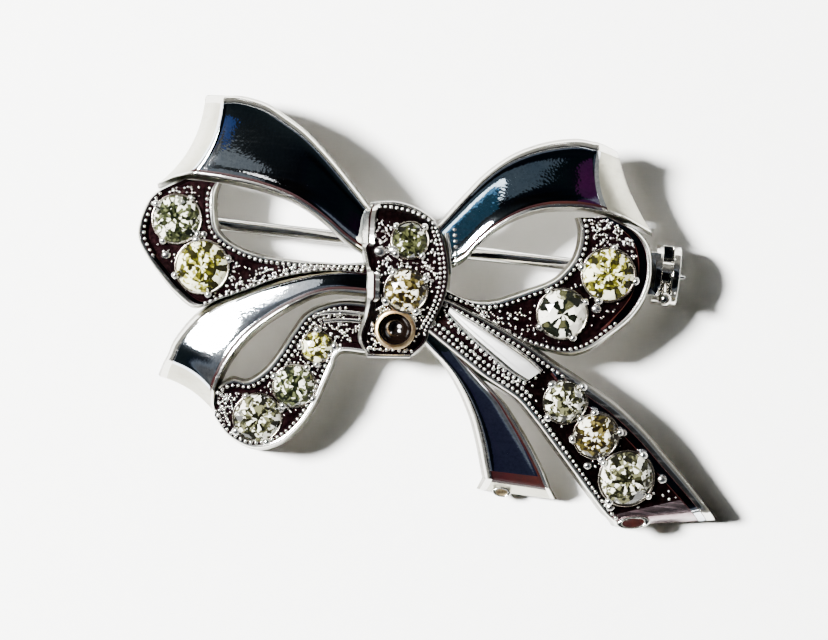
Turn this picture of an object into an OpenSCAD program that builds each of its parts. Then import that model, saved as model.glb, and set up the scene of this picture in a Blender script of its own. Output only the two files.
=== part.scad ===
/* [Bow] */
// Half of the bow's width, which the section tables share out along the pin
half_w = 20; // [19:0.5:24]
// Half of the bow's height, which the tables share out across the pin
half_h = 16; // [15:0.5:20]
// Height of the knot's crown over the surface that the brooch lies on
rise = 8.2; // [7.8:0.1:9.6]

/* [Ribbons] */
// Width of the bevelled outer rim of a polished ribbon
outer_rim = 0.75; // [0.5:0.05:0.9]
// Width of the fine rim beside a window
inner_rim = 0.38; // [0.25:0.01:0.5]
// Drop of the outer rim's bevel
rim_drop = 0.24; // [0.1:0.02:0.4]
// Depth of the hollow down a polished ribbon
dish_depth = 0.6; // [0.3:0.05:0.8]
// Depth of the hollow in a polished ribbon's back
back_hollow = 0.7; // [0.3:0.05:0.9]
// Width of the ridge along each edge of a stone-set ribbon
bead_rim = 0.44; // [0.3:0.02:0.5]
// Depth of a stone-set ribbon's floor under its ridges
floor_drop = 0.3; // [0.2:0.05:0.4]
// How far the side walls flare out at their foot
flare = 0.22; // [0.1:0.02:0.35]

/* [Stones] */
// Diameter of the largest size of stone, which the stone table shares out
stone_d = 3.5; // [3.2:0.05:3.6]
// Height of a stone's crown as a share of its diameter
crown_share = 0.15; // [0.1:0.01:0.18]
// Depth of a stone's pavilion as a share of its diameter
pavilion_share = 0.29; // [0.22:0.01:0.32]
// Width of a stone's table as a share of its diameter
table_share = 0.56; // [0.5:0.01:0.62]
// Thickness of a stone's girdle
girdle_t = 0.1; // [0.06:0.01:0.16]
// Clearance of a stone in its seat
seat_gap = 0.04; // [0.02:0.01:0.08]
// Diameter of a grain of metal raised beside a stone
grain_d = 0.62; // [0.4:0.02:0.8]
// Height of a grain over the girdle
grain_h = 0.36; // [0.2:0.02:0.5]
// Inner diameter of the empty cup's mouth, under the knot
cup_d = 2.4; // [2.2:0.1:2.6]
// Inner diameter of the cup's bottom
cup_foot_d = 2.0; // [1.6:0.1:2.1]
// Wall of the empty cup
cup_wall = 0.36; // [0.25:0.01:0.45]
// Depth of the empty cup
cup_depth = 1.3; // [0.8:0.1:1.5]
// Lean of the cup's mouth towards the tails
cup_lean = 16; // [10:1:20]

/* [Pin] */
// Diameter of the pin stem
stem_d = 1.0; // [0.8:0.05:1.1]
// Place of the hinge along the bow, as a percentage of half_w from the knot's middle
hinge_at = -72; // [-74:0.5:-70]
// Place of the pin's line across the bow, as a percentage of half_h from the knot's middle
pin_at = 16; // [14:0.5:18]
// Length of the stem's ground point
point_l = 4.6; // [3:0.2:6]
// Diameter left at the very tip
tip_d = 0.2; // [0.1:0.05:0.3]
// How far the tip stands out past the catch
tip_out = 0.5; // [0.2:0.1:1]

/* [Hinge] */
// Diameter of the rivet
rivet_d = 0.6; // [0.5:0.02:0.7]
// Running clearance of the stem's eye on the rivet
rivet_gap = 0.04; // [0.02:0.01:0.08]
// Thickness of the rivet's heads
head_t = 0.18; // [0.1:0.02:0.3]
// Diameter of the rivet's heads
head_d = 1.0; // [0.8:0.05:1.2]
// Outer diameter of the stem's eye
eye_d = 1.5; // [1.4:0.05:1.6]
// Width of the stem's eye along the rivet
eye_w = 1.1; // [1.1:0.05:1.3]
// Clearance of the eye under the base plate
eye_gap = 0.15; // [0.1:0.01:0.25]
// Thickness of each lug
lug_t = 0.5; // [0.4:0.05:0.7]
// Side clearance between the eye and each lug
side_gap = 0.06; // [0.03:0.01:0.12]
// Diameter of the lugs' round ends
lug_d = 1.4; // [1.3:0.05:1.6]
// Length of the hinge's base plate along the pin
hinge_base_l = 2.8; // [2.4:0.1:3.2]
// Width of the hinge's base plate across the pin
hinge_base_w = 3.0; // [2.8:0.1:3.6]
// Thickness of the hinge's base plate
base_t = 0.45; // [0.35:0.05:0.55]
// How far the base plate's middle lies outside the rivet, towards the loop's end
base_shift = 0.7; // [0.4:0.1:1]

/* [Catch] */
// Outer diameter of the catch
hook_d = 4.4; // [4.2:0.1:4.8]
// Length of the catch along the pin
hook_l = 1.8; // [1.6:0.1:2]
// Clearance between the loop's end and the catch
hook_gap = 0.1; // [0.05:0.05:0.4]
// Bore of the catch, in which the lock turns
hook_bore = 2.5; // [2.3:0.1:2.6]
// Running clearance of the lock in the catch
lock_gap = 0.05; // [0.03:0.01:0.09]
// Bore of the lock round the pin
lock_bore = 1.3; // [1.25:0.05:1.4]
// Width of the mouth through which the pin comes out
mouth_w = 1.16; // [1.1:0.02:1.2]
// Thickness of the thumb tab's stalk
tab_t = 0.56; // [0.4:0.02:0.6]
// Diameter of the thumb tab's ball
tab_d = 1.0; // [0.8:0.05:1.1]
// Clearance of the tab in the catch's slot
tab_gap = 0.1; // [0.06:0.01:0.14]
// Lean of the tab towards the tails with the lock open
tab_lean = 39; // [30:1:42]
// Turn of the lock from open to shut
lock_turn = 100; // [90:2:104]
// Thickness of the plate that carries the catch
plate_t = 0.6; // [0.5:0.05:0.65]
// Length of the catch's plate under the loop
plate_l = 3.2; // [2.6:0.1:3.4]
// Width of the catch's plate
plate_w = 3.1; // [2.6:0.1:3.3]
// How far the plate's top lies under the top of the catch
plate_sink = 0.3; // [0.25:0.05:0.4]
// How far the plate runs into the catch
plate_lap = 0.36; // [0.2:0.02:0.5]

/* [Hidden] */
$fn = 40;
eps = 0.01;
// Room left round the soldered plates in the hollow of the back
pocket_gap = 0.35;
// Room left between the hinge's base plate and the end of its hollow
pocket_end_gap = 0.2;
// How far the catch's hollow runs past the end of its plate
pocket_run = 0.6;
// Widest share of a ribbon's width that one of its rims may take
rim_most = 0.3;
// Reach of a ridge's inner slope, counted in ridge widths
ridge_reach = 1.25;
// Distance of a grain's middle from the stone's edge, as a share of the grain's diameter
grain_off = 0.36;
// Depth of a grain's root under the stone's girdle, in mm
grain_root = 3.5 * floor_drop;
// Turn of the corners that stand for the cup's round wall
cup_turn = 5;
// Rings of facet corners, as shares of the stone's radius
star_ring = 0.8;
main_ring = 0.32;

// Each row is one section across a ribbon, from its outer edge to its inner edge.
// Columns: outer edge along, across, height, foot; inner edge along, across, height, foot; dish; bow.
// Along is a percentage of half_w, across of half_h, heights and feet of rise, dish of dish_depth,
// and bow is how far the section's middle swings sideways, as a percentage of half_w.
ALONG_O = 0;
ACROSS_O = 1;
TOP_O = 2;
FOOT_O = 3;
ALONG_I = 4;
ACROSS_I = 5;
TOP_I = 6;
FOOT_I = 7;
DISH = 8;
BOW = 9;

upper_left_band = [
    [-12, 28, 76, 48, -10, 8, 74, 48, 40, 0],
    [-20, 38.5, 80, 52, -20, 14, 78, 52, 80, 0],
    [-29.5, 50, 83, 54, -28, 21, 80, 54, 100, 0],
    [-39, 60, 85, 56, -36, 27, 81, 55, 100, 0],
    [-47, 66, 85, 56, -44, 31, 81, 55, 100, 0],
    [-55, 71, 84, 54, -55, 34, 80, 54, 100, 0],
    [-64, 73, 82, 48, -67, 35.5, 77, 50, 90, 1],
    [-70.5, 72.5, 77, 38, -79, 36, 72, 42, 50, 3],
    [-74.5, 73, 58, 14, -85.5, 34, 60, 20, 20, 3.5],
    [-78, 73, 26, 0, -91.5, 30.5, 36, 0, 0, 4]];
left_crescent = [
    [-82, 34, 62, 20, -69, 34, 64, 45, 0, 0],
    [-91.5, 26, 62, 6, -70, 28.5, 65, 44, 0, 0],
    [-95, 16, 62, 0, -69.3, 20, 66, 43, 0, 0],
    [-95.5, 6, 62, 0, -67.5, 13, 66, 43, 0, 0],
    [-91.5, -2.5, 62, 4, -63.5, 8.5, 67, 43, 0, 0],
    [-86, -10, 62, 12, -58, 5.5, 67, 43, 0, 0],
    [-79.5, -17.5, 62, 22, -53, 4, 68, 43, 0, 0],
    [-72, -22.5, 62, 32, -48.5, 3.3, 68, 43, 0, 0],
    [-63.5, -17.5, 63, 38, -44, 3, 69, 43, 0, 0],
    [-55, -12.5, 65, 42, -39.5, 3, 70, 44, 0, 0],
    [-45, -6, 67, 44, -34.5, 3, 71, 46, 0, 0],
    [-35, -2, 70, 46, -28, 3.4, 72, 48, 0, 0],
    [-24, 0.8, 72, 48, -21, 3.8, 73, 50, 0, 0],
    [-10, 1, 74, 50, -10, 5.5, 74, 50, 0, 0]];
lower_left_band = [
    [-9, 3, 68, 46, -9, -8, 68, 46, 40, 0],
    [-20, 1.5, 67, 46, -22, -8.5, 68, 46, 70, 0],
    [-30, -1, 65, 45, -30, -11.5, 68, 46, 80, 0],
    [-40, -5, 62, 43, -36, -16, 67, 45, 80, 0],
    [-50, -10, 58, 40, -42, -21.5, 66, 44, 80, 0],
    [-59, -15.5, 54, 36, -48, -28, 65, 43, 80, 0],
    [-66, -20.5, 51, 32, -53, -35, 64, 42, 80, 0],
    [-72.5, -28, 49, 28, -57.5, -44, 62, 40, 80, 0],
    [-78, -38.5, 47, 22, -60.5, -53, 58, 34, 60, 1],
    [-80.6, -47.5, 43, 15, -62, -60.5, 50, 22, 30, 2],
    [-82, -52, 31, 5, -62, -65, 38, 8, 10, 2],
    [-83, -56, 16, 0, -61.5, -69.5, 22, 0, 0, 2]];
lower_left_strip = [
    [-8, -34.5, 60, 44, -8, -12, 66, 45, 0, 0],
    [-17, -34.5, 60, 42, -21, -13, 65, 44, 0, 0],
    [-20, -37, 59, 39, -31, -19, 64, 43, 0, 0],
    [-21, -42, 58, 37, -35.8, -28, 62, 42, 0, 0],
    [-23, -50, 57, 35, -39.5, -37.5, 60, 41, 0, 0],
    [-25.5, -60, 55, 32, -43, -45, 58, 40, 0, 0],
    [-30, -70.5, 53, 27, -47, -50.5, 56, 38, 0, 0],
    [-37, -79.5, 51, 20, -51, -53.5, 54, 34, 0, 0],
    [-46, -83, 49, 12, -55.5, -53, 54, 30, 0, 0],
    [-55, -79, 48, 4, -58.5, -54.5, 55, 26, 0, 0],
    [-61, -71, 48, 0, -60.5, -57, 57, 22, 0, 0]];
upper_right_band = [
    [11, 26, 76, 50, 12, 6, 74, 50, 40, 0],
    [20, 41.5, 80, 54, 21, 11.5, 78, 54, 80, 0],
    [26, 51, 83, 57, 26, 19.5, 80, 56, 100, 0],
    [33.5, 59.5, 86, 59, 32, 27.5, 82, 57, 100, 0],
    [41, 65, 87, 60, 40, 34.5, 83, 58, 100, 0],
    [49, 68.8, 87, 60, 49, 39, 83, 58, 100, 0],
    [57.5, 71, 86, 58, 60, 41, 82, 57, 90, -1],
    [66, 70.5, 81, 50, 71, 40.5, 77, 52, 50, -2.5],
    [70, 69.5, 66, 36, 79.5, 38, 66, 42, 20, -2],
    [73, 68.5, 46, 24, 88.5, 34, 50, 30, 0, -1.5]];
right_crescent = [
    [73, 39, 66, 44, 61, 37, 68, 53, 0, 0],
    [82.5, 34, 66, 44, 62.5, 31.5, 68, 53, 0, 0],
    [87.5, 27, 66, 44, 62.7, 25, 68, 52, 0, 0],
    [89.5, 16, 66, 44, 61.5, 18.5, 68, 51, 0, 0],
    [88.3, 5.5, 66, 44, 59, 13, 68, 51, 0, 0],
    [84, -5, 66, 44, 55.5, 8, 69, 51, 0, 0],
    [77, -14, 66, 45, 51, 4.5, 70, 50, 0, 0],
    [70.5, -21, 66, 46, 46, 1.5, 71, 49, 0, 0],
    [63, -24.5, 67, 46, 41, -1.5, 71, 48, 0, 0],
    [52, -23, 68, 47, 35.5, -4.5, 72, 48, 0, 0],
    [41, -19, 69, 48, 29, -6, 73, 48, 0, 0],
    [30, -13.5, 71, 49, 22.5, -4.8, 73, 49, 0, 0],
    [13, -9, 72, 50, 13, 0, 73, 50, 0, 0]];
right_tail = [
    [9, -4, 72, 48, 5, -17, 70, 46, 0, 0],
    [18, -6.5, 74, 48, 12, -21.5, 71, 46, 0, 0],
    [25, -9.5, 75, 48, 19, -27, 71, 46, 0, 0],
    [33, -13.5, 76, 48, 26.5, -33, 71, 44, 0, 0],
    [41, -18, 76, 47, 33.5, -38.5, 70, 42, 0, 0],
    [49, -22.8, 75, 45, 40.5, -43, 69, 40, 0, 0],
    [57, -28.3, 73, 42, 47, -47.5, 67, 38, 0, 0],
    [66, -34, 70, 39, 53.5, -55, 64, 34, 0, 0],
    [75, -40, 66, 35, 60, -63.5, 60, 30, 0, 0],
    [84.5, -47, 61, 30, 66, -71.5, 56, 25, 0, 0],
    [94, -56, 56, 24, 72, -79.5, 51, 18, 0, 0],
    [104, -67.5, 50, 17, 78, -87.5, 46, 11, 0, 0],
    [113, -78, 45, 10, 83, -94, 42, 5, 0, 0],
    [121, -88, 40, 3, 86.5, -97.5, 38, 1, 0, 0],
    [124, -92, 16, 0, 88, -100, 14, 0, 0, 0]];
tail_channel = [
    [19, -9.5, 78, 62, 18.5, -12, 77, 62, 20, 0],
    [26, -13.5, 79, 62, 24, -18, 77.5, 62, 40, 0],
    [34, -18.3, 79.5, 62, 31, -24.5, 77.5, 62, 50, 0],
    [42, -23.2, 79, 60, 38, -30.5, 76.5, 60, 50, 0],
    [49, -28, 77.5, 58, 44, -35.5, 75, 58, 50, 0],
    [54.5, -33, 75, 56, 49.5, -38.5, 73, 56, 30, 0]];
centre_tail = [
    [4, -20, 62, 44, 16, -20, 64, 44, 40, 0],
    [12, -28, 62, 42, 25, -31, 64, 43, 60, 0],
    [20, -36.5, 59, 38, 34, -41, 62, 40, 80, 0],
    [26.5, -47, 55, 34, 41.5, -49, 58, 36, 80, 0],
    [31.5, -58, 49, 28, 47.5, -58, 53, 30, 80, 0],
    [35, -69, 43, 20, 53.5, -68, 47, 22, 80, 0],
    [37.5, -79, 37, 11, 59, -78.5, 41, 13, 70, 0],
    [39, -85.5, 32, 3, 62.5, -86.5, 36, 5, 40, 0],
    [37.5, -90.5, 12, 0, 65, -91, 16, 0, 0, 0]];
knot = [
    [-14, 32.5, 74, 46, 10, 27.5, 74, 46, 0, 3.5],
    [-15.6, 28, 84, 43, 12, 24, 84, 43, 0, 3],
    [-15.4, 20, 90, 43, 14, 19, 90, 43, 0, 1.5],
    [-14.6, 13, 93, 43, 15.6, 13, 92, 43, 0, 0.5],
    [-12.8, 6, 94, 43, 16.8, 6, 92, 43, 0, 0],
    [-11.5, 0, 93, 43, 17, -1, 90, 43, 0, 0],
    [-11, -7, 90, 43, 16, -8, 87, 43, 0, 0],
    [-10.8, -13, 84, 43, 14.5, -14, 82, 43, 0, 0],
    [-11.5, -20, 74, 43, 12.5, -20, 74, 43, 0, 0],
    [-12.5, -28, 66, 44, 11.5, -27, 66, 44, 0, 0],
    [-9, -35.5, 60, 45, 7, -33.5, 60, 45, 0, 0]];

polished_ribbons = [upper_left_band, upper_right_band, lower_left_band, centre_tail, tail_channel];
set_ribbons = [left_crescent, right_crescent, lower_left_strip, right_tail, knot];

// Columns: node name, along, across and height of the girdle (percentages), size (percentage of stone_d),
// lean along the pin, lean across it, turn of the first grain, number of grains.
NAME = 0;
ALONG = 1;
ACROSS = 2;
GIRDLE = 3;
SIZE = 4;
LEAN_X = 5;
LEAN_Y = 6;
TURN = 7;
GRAINS = 8;
stones = [
    ["stone_left_1", -82.3, 15.7, 62.5, 97, -2, 0, 63, 4],
    ["stone_left_2", -71.3, -4.4, 63.5, 106, -3, 2, 20, 4],
    ["stone_lower_1", -45.4, -69.1, 50, 96, 2, 6, 33, 4],
    ["stone_lower_2", -33.5, -52.9, 55.5, 84, 2, 5, 66, 4],
    ["stone_lower_3", -26.9, -34.2, 59.5, 62, 3, 5, 10, 4],
    ["stone_knot_1", 2, 17.9, 89.5, 72, 0, -8, 48, 4],
    ["stone_knot_2", 2.6, -4.6, 89.5, 84, 2, 7, 35, 4],
    ["stone_right_1", 74.2, 13, 67, 105, 1, 0, 80, 4],
    ["stone_right_2", 59.3, -6.8, 67.5, 99, 2, 3, 33, 4],
    ["stone_tail_1", 64.1, -46, 64.5, 86, 6, 10, 50, 4],
    ["stone_tail_2", 76.6, -59.6, 59, 90, 7, 9, 18, 4],
    ["stone_tail_3", 89.4, -77.2, 51, 110, 8, 8, 57, 4]];
// Along, across and height of the empty cup's mouth (percentages)
cup = [0.3, -22.6, 78];

// Points across a ribbon's top, and as many across its back
POINTS = 9;
// Half the number of points across, which the hollow's points between the rims share out
HOLLOW_STEPS = 6;

// Profile of a section: how far across it each point lies, as a share, and how deep, in mm
function polished_top(w, dish) =
    let (a = min(outer_rim / w, rim_most), b = min(inner_rim / w, rim_most))
    concat([[0, -rim_drop], [a, 0]],
           [for (k = [1:HOLLOW_STEPS - 1])
               [a + (1 - a - b) * k / HOLLOW_STEPS, -dish * pow(sin(180 * k / HOLLOW_STEPS), 0.8)]],
           [[1 - b, 0], [1, -rim_drop / 3]]);
function set_top(w) =
    let (a = min(bead_rim / w, rim_most), s = a * ridge_reach)
    [[0, -rim_drop / 2], [a / 2, 0], [a, -rim_drop / 3], [s, -floor_drop], [0.5, -floor_drop],
     [1 - s, -floor_drop], [1 - a, -rim_drop / 3], [1 - a / 2, 0], [1, -rim_drop / 2]];

function outer_edge(r) = [r[ALONG_O] * half_w, r[ACROSS_O] * half_h, r[TOP_O] * rise] / 100;
function inner_edge(r) = [r[ALONG_I] * half_w, r[ACROSS_I] * half_h, r[TOP_I] * rise] / 100;
function swing(r, t) =
    let (d = inner_edge(r) - outer_edge(r), w = norm([d[0], d[1]]), b = r[BOW] * half_w / 100)
    [-d[1], d[0], 0] / w * b * 4 * t * (1 - t);
function top_point(r, p) =
    outer_edge(r) + p[0] * (inner_edge(r) - outer_edge(r)) + swing(r, p[0]) + [0, 0, p[1]];
function foot_point(r, k, w, hollow) =
    let (t = k / (POINTS - 1), s = -flare / w + t * (1 + 2 * flare / w),
         p = outer_edge(r) + s * (inner_edge(r) - outer_edge(r)) + swing(r, t),
         foot = (r[FOOT_O] + t * (r[FOOT_I] - r[FOOT_O])) * rise / 100)
    [p[0], p[1], foot + hollow * sin(180 * t)];
function section(r, polished) =
    let (d = inner_edge(r) - outer_edge(r), w = norm([d[0], d[1]]), share = r[DISH] / 100,
         profile = polished ? polished_top(w, dish_depth * share) : set_top(w),
         hollow = polished ? back_hollow * share : 0)
    concat([for (p = profile) top_point(r, p)],
           [for (k = [POINTS - 1:-1:0]) foot_point(r, k, w, hollow)]);
function ribbon_points(rows, polished) = [for (r = rows) each section(r, polished)];

// The whole bow is set over the middle of its own box
all_points = concat([for (t = polished_ribbons) each ribbon_points(t, true)],
                    [for (t = set_ribbons) each ribbon_points(t, false)]);
function low(k) = min([for (p = all_points) p[k]]);
function high(k) = max([for (p = all_points) p[k]]);
middle = [(low(0) + high(0)) / 2, (low(1) + high(1)) / 2, 0];

// The mouth's two edges carry the catch on the surface, so the pin lies this high
pin_z = sqrt(pow(hook_d / 2, 2) - pow(mouth_w / 2, 2));
pin_y = pin_at * half_h / 100;
hinge_x = hinge_at * half_w / 100;
hinge_pad_z = pin_z + eye_d / 2 + eye_gap + base_t;
base_left = hinge_x - base_shift - hinge_base_l / 2;
lug_inner = eye_w / 2 + side_gap;
crescent_end = max([for (r = right_crescent) r[ALONG_O]]) * half_w / 100 + flare;
hook_left = crescent_end + hook_gap;
hook_x = hook_left + hook_l / 2;
plate_left = hook_left - plate_l;
plate_top = pin_z + hook_d / 2 - plate_sink;

// Which way round a ribbon's faces run, from the turn between its sections and its length
function runs_left(rows) =
    let (c = inner_edge(rows[0]) - outer_edge(rows[0]),
         n = outer_edge(rows[1]) + inner_edge(rows[1]) - outer_edge(rows[0]) - inner_edge(rows[0]))
    c[0] * n[1] - c[1] * n[0] > 0;
function turned(faces, turn) = turn ? [for (f = faces) [f[2], f[1], f[0]]] : faces;

module ribbon(rows, polished) {
    ring = 2 * POINTS;
    last = ring * (len(rows) - 1);
    sides = [for (k = [0:len(rows) - 2])
        for (i = [0:ring - 1])
            let (a = k * ring + i, b = k * ring + (i + 1) % ring)
            each [[a, b, b + ring], [a, b + ring, a + ring]]];
    caps = [for (i = [0:POINTS - 2])
        let (a = i, b = i + 1, c = ring - 2 - i, d = ring - 1 - i)
        each [[a, c, b], [a, d, c], [last + a, last + b, last + c], [last + a, last + c, last + d]]];
    polyhedron(points = ribbon_points(rows, polished),
               faces = turned(concat(sides, caps), runs_left(rows)));
}

module at_stone(s) {
    translate([s[ALONG] * half_w, s[ACROSS] * half_h, s[GIRDLE] * rise] / 100)
        rotate([s[LEAN_Y], s[LEAN_X], 0])
            children();
}

// A brilliant with a table, eight stars, eight kites and sixteen girdle facets over eight pavilion mains
function ring_at(n, turn, r, z) =
    [for (k = [0:n - 1]) [r * cos(turn + 360 * k / n), r * sin(turn + 360 * k / n), z]];
function brilliant_points(d) =
    let (r = d / 2, crown = crown_share * d, deep = pavilion_share * d, g = girdle_t / 2,
         table_r = table_share * r, star_r = star_ring * r, main_r = main_ring * r)
    concat(ring_at(8, 0, table_r, g + crown),
           ring_at(8, 22.5, star_r, g + crown * (r - star_r * cos(22.5)) / (r - table_r)),
           ring_at(16, 0, r, g), ring_at(16, 0, r, -g),
           ring_at(8, 22.5, main_r, -g - deep * (1 - main_r * cos(22.5) / r)),
           [[0, 0, -g - deep]]);
function brilliant_faces() =
    let (star = 8, upper = 16, lower = 32, main = 48, culet = 56)
    concat([[for (k = [7:-1:0]) k]],
           [for (k = [0:7])
               let (n = (k + 1) % 8, g = upper + 2 * k, gn = upper + (2 * k + 2) % 16)
               each [[k, n, star + k], [n, gn, star + k], [k, star + k, g],
                     [star + k, g + 1, g], [star + k, gn, g + 1]]],
           [for (k = [0:15])
               let (n = (k + 1) % 16)
               each [[upper + k, upper + n, lower + n], [upper + k, lower + n, lower + k]]],
           [for (k = [0:7])
               let (g = lower + 2 * k, gn = lower + (2 * k + 2) % 16, m = main + k, mn = main + (k + 1) % 8)
               each [[m, g, g + 1], [m, g + 1, gn], [m, gn, mn], [m, mn, culet]]]);

module stone(s) {
    color("lightyellow")
        at_stone(s)
            polyhedron(points = brilliant_points(s[SIZE] * stone_d / 100), faces = brilliant_faces());
}

// Room for one stone: the crown's way out, the girdle and the pavilion, all with the seat's clearance
module seat(s) {
    r = s[SIZE] * stone_d / 200 + seat_gap;
    ledge = -girdle_t / 2 - seat_gap;
    deep = 2 * pavilion_share * r + girdle_t / 2 + 2 * seat_gap;
    at_stone(s)
        rotate_extrude($fn = 24)
            polygon([[0, -deep], [seat_gap, -deep], [r, ledge], [r, rise], [0, rise]]);
}

module grains(s) {
    r = s[SIZE] * stone_d / 200;
    at_stone(s)
        for (k = [0:s[GRAINS] - 1])
            rotate([0, 0, s[TURN] + 360 * k / s[GRAINS]])
                translate([r + grain_d * grain_off, 0, -grain_root])
                    hull() {
                        cylinder(h = grain_root + grain_h / 2, d = grain_d, $fn = 8);
                        cylinder(h = grain_root + grain_h, d = grain_d / 2, $fn = 8);
                    }
}

module at_cup() {
    translate([cup[0] * half_w, cup[1] * half_h, cup[2] * rise] / 100)
        rotate([cup_lean, 0, 0])
            rotate([0, 0, cup_turn])
                children();
}

// Room under the bow for the pin, its hinge and the catch's plate, with flat pads to solder them to
module pin_room() {
    w = max(hinge_base_w, plate_w) + 2 * pocket_gap;
    start = base_left - pocket_end_gap;
    split = plate_left - pocket_run;
    translate([start, pin_y - w / 2, -1])
        cube([split - start + eps, w, hinge_pad_z + 1]);
    translate([split, pin_y - w / 2, -1])
        cube([hook_x - split, w, plate_top + 1]);
}

module bow_casting() {
    color("silver")
        translate(-middle)
            difference() {
                union() {
                    for (t = polished_ribbons)
                        ribbon(t, true);
                    for (t = set_ribbons)
                        ribbon(t, false);
                    for (s = stones)
                        grains(s);
                    at_cup()
                        translate([0, 0, -cup_depth - cup_wall])
                            cylinder(h = cup_depth + cup_wall, d = cup_d + 2 * cup_wall, $fn = 24);
                }
                for (s = stones)
                    seat(s);
                at_cup()
                    rotate_extrude($fn = 24)
                        polygon([[0, -cup_depth], [cup_foot_d / 2, -cup_depth], [cup_d / 2, 0],
                                 [cup_d / 2, rise], [0, rise]]);
                pin_room();
            }
}

module along_pin(x, l, d) {
    translate([x, pin_y, pin_z])
        rotate([0, 90, 0])
            cylinder(h = l, d = d);
}

module across_pin(x, y, l, d) {
    translate([x, y, pin_z])
        rotate([-90, 0, 0])
            cylinder(h = l, d = d);
}

module pin_stem() {
    stem_l = hook_x + hook_l / 2 + tip_out - hinge_x;
    color("gainsboro")
        translate(-middle)
            difference() {
                union() {
                    across_pin(hinge_x, pin_y - eye_w / 2, eye_w, eye_d);
                    translate([hinge_x, pin_y, pin_z])
                        rotate([0, 90, 0])
                            rotate_extrude()
                                polygon([[0, 0], [stem_d / 2, 0], [stem_d / 2, stem_l - point_l],
                                         [tip_d / 2, stem_l], [0, stem_l]]);
                }
                across_pin(hinge_x, pin_y - eye_w, 2 * eye_w, rivet_d + 2 * rivet_gap);
            }
}

module hinge_bracket() {
    top = hinge_pad_z - pin_z;
    color("darkgray")
        translate(-middle)
            difference() {
                union() {
                    translate([base_left, pin_y - hinge_base_w / 2, hinge_pad_z - base_t])
                        cube([hinge_base_l, hinge_base_w, base_t]);
                    for (side = [-1, 1]) {
                        y = pin_y + (side > 0 ? lug_inner : -lug_inner - lug_t);
                        across_pin(hinge_x, y, lug_t, lug_d);
                        translate([hinge_x - lug_d / 2, y, pin_z])
                            cube([lug_d, lug_t, top - base_t / 2]);
                    }
                }
                across_pin(hinge_x, pin_y - hinge_base_w, 2 * hinge_base_w, rivet_d);
            }
}

module hinge_rivet() {
    half = lug_inner + lug_t;
    color("gray")
        translate(-middle) {
            across_pin(hinge_x, pin_y - half, 2 * half, rivet_d - eps);
            for (side = [-1, 1])
                across_pin(hinge_x, pin_y + (side > 0 ? half : -half - head_t), head_t, head_d);
        }
}

// A cut through the catch from its bore down to the surface, for the pin to come out
module mouth(r) {
    translate([hook_left - 1, pin_y - mouth_w / 2, pin_z - r])
        cube([hook_l + 2, mouth_w, r]);
}

// A sector of the catch between two leans from upright, positive towards the loops
module sector(from, to, r1, r2, l) {
    translate([hook_x - l / 2, pin_y, pin_z])
        rotate([90, 0, 90])
            rotate([0, 0, 90 - to])
                rotate_extrude(angle = to - from)
                    translate([r1, 0])
                        square([r2 - r1, l]);
}

module catch_hook() {
    slack = asin((tab_t / 2 + tab_gap) / (hook_bore / 2));
    color("darkgray")
        translate(-middle)
            difference() {
                union() {
                    along_pin(hook_left, hook_l, hook_d);
                    translate([plate_left, pin_y - plate_w / 2, plate_top - plate_t])
                        cube([plate_l + plate_lap, plate_w, plate_t]);
                }
                along_pin(hook_left - 1, hook_l + 2, hook_bore);
                mouth(hook_d);
                sector(-tab_lean - slack, lock_turn - tab_lean + slack, lock_bore / 2, hook_d,
                       tab_t + 2 * tab_gap);
            }
}

module catch_lock() {
    ball_z = hook_d / 2 + tab_d / 2 + tab_gap / 4;
    color("silver")
        translate(-middle)
            difference() {
                union() {
                    along_pin(hook_left, hook_l, hook_bore - 2 * lock_gap);
                    translate([hook_x, pin_y, pin_z])
                        rotate([tab_lean, 0, 0]) {
                            translate([0, 0, lock_bore / 2 + eps])
                                cylinder(h = ball_z - lock_bore / 2, d = tab_t);
                            translate([0, 0, ball_z])
                                sphere(d = tab_d);
                        }
                }
                along_pin(hook_left - 1, hook_l + 2, lock_bore);
                mouth(hook_bore / 2 + lock_gap);
            }
}

bow_casting();
pin_stem();
hinge_bracket();
hinge_rivet();
catch_hook();
catch_lock();
for (s = stones) translate(-middle) stone(s);
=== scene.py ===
# %% [markdown]
# # A ribbon bow brooch with set stones
# The real thing is one casting of plated white metal. Its ribbons are mirror-bright hollows between
# crisp rims, or dark granulated grounds set with foil-backed stones between rows of tiny beads.
# The tables below hold percentages of the bow's size, as the solids' do, so the looks lie on them.

import math
import random

import bpy
import numpy as np
from mathutils import Euler, Matrix, Vector


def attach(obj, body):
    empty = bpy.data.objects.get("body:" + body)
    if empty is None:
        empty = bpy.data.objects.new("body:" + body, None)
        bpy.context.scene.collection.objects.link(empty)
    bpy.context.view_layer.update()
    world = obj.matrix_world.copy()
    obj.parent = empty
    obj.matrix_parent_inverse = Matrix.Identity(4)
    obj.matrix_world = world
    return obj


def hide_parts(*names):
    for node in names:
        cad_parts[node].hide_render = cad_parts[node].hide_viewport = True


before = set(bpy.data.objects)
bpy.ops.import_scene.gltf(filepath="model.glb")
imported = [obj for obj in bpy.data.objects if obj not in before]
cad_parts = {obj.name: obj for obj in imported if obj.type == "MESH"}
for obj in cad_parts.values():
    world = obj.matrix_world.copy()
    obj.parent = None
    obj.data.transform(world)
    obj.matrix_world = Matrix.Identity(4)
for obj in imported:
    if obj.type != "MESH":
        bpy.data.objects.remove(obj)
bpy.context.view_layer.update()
MM = 0.001
# The bow's half width, half height and rise, and the place of the frame's origin in it, in mm
HALF_W, HALF_H, RISE = 20.0, 16.0, 8.2
MIDDLE_X, MIDDLE_Y = 2.85044, -2.0698
# All that is left to chance comes from these dice, so each run gives the same brooch
dice = random.Random(7)


def deselect():
    """Leaves nothing selected, so that an operator acts on its own new primitive alone."""
    bpy.ops.object.select_all(action="DESELECT")


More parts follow.
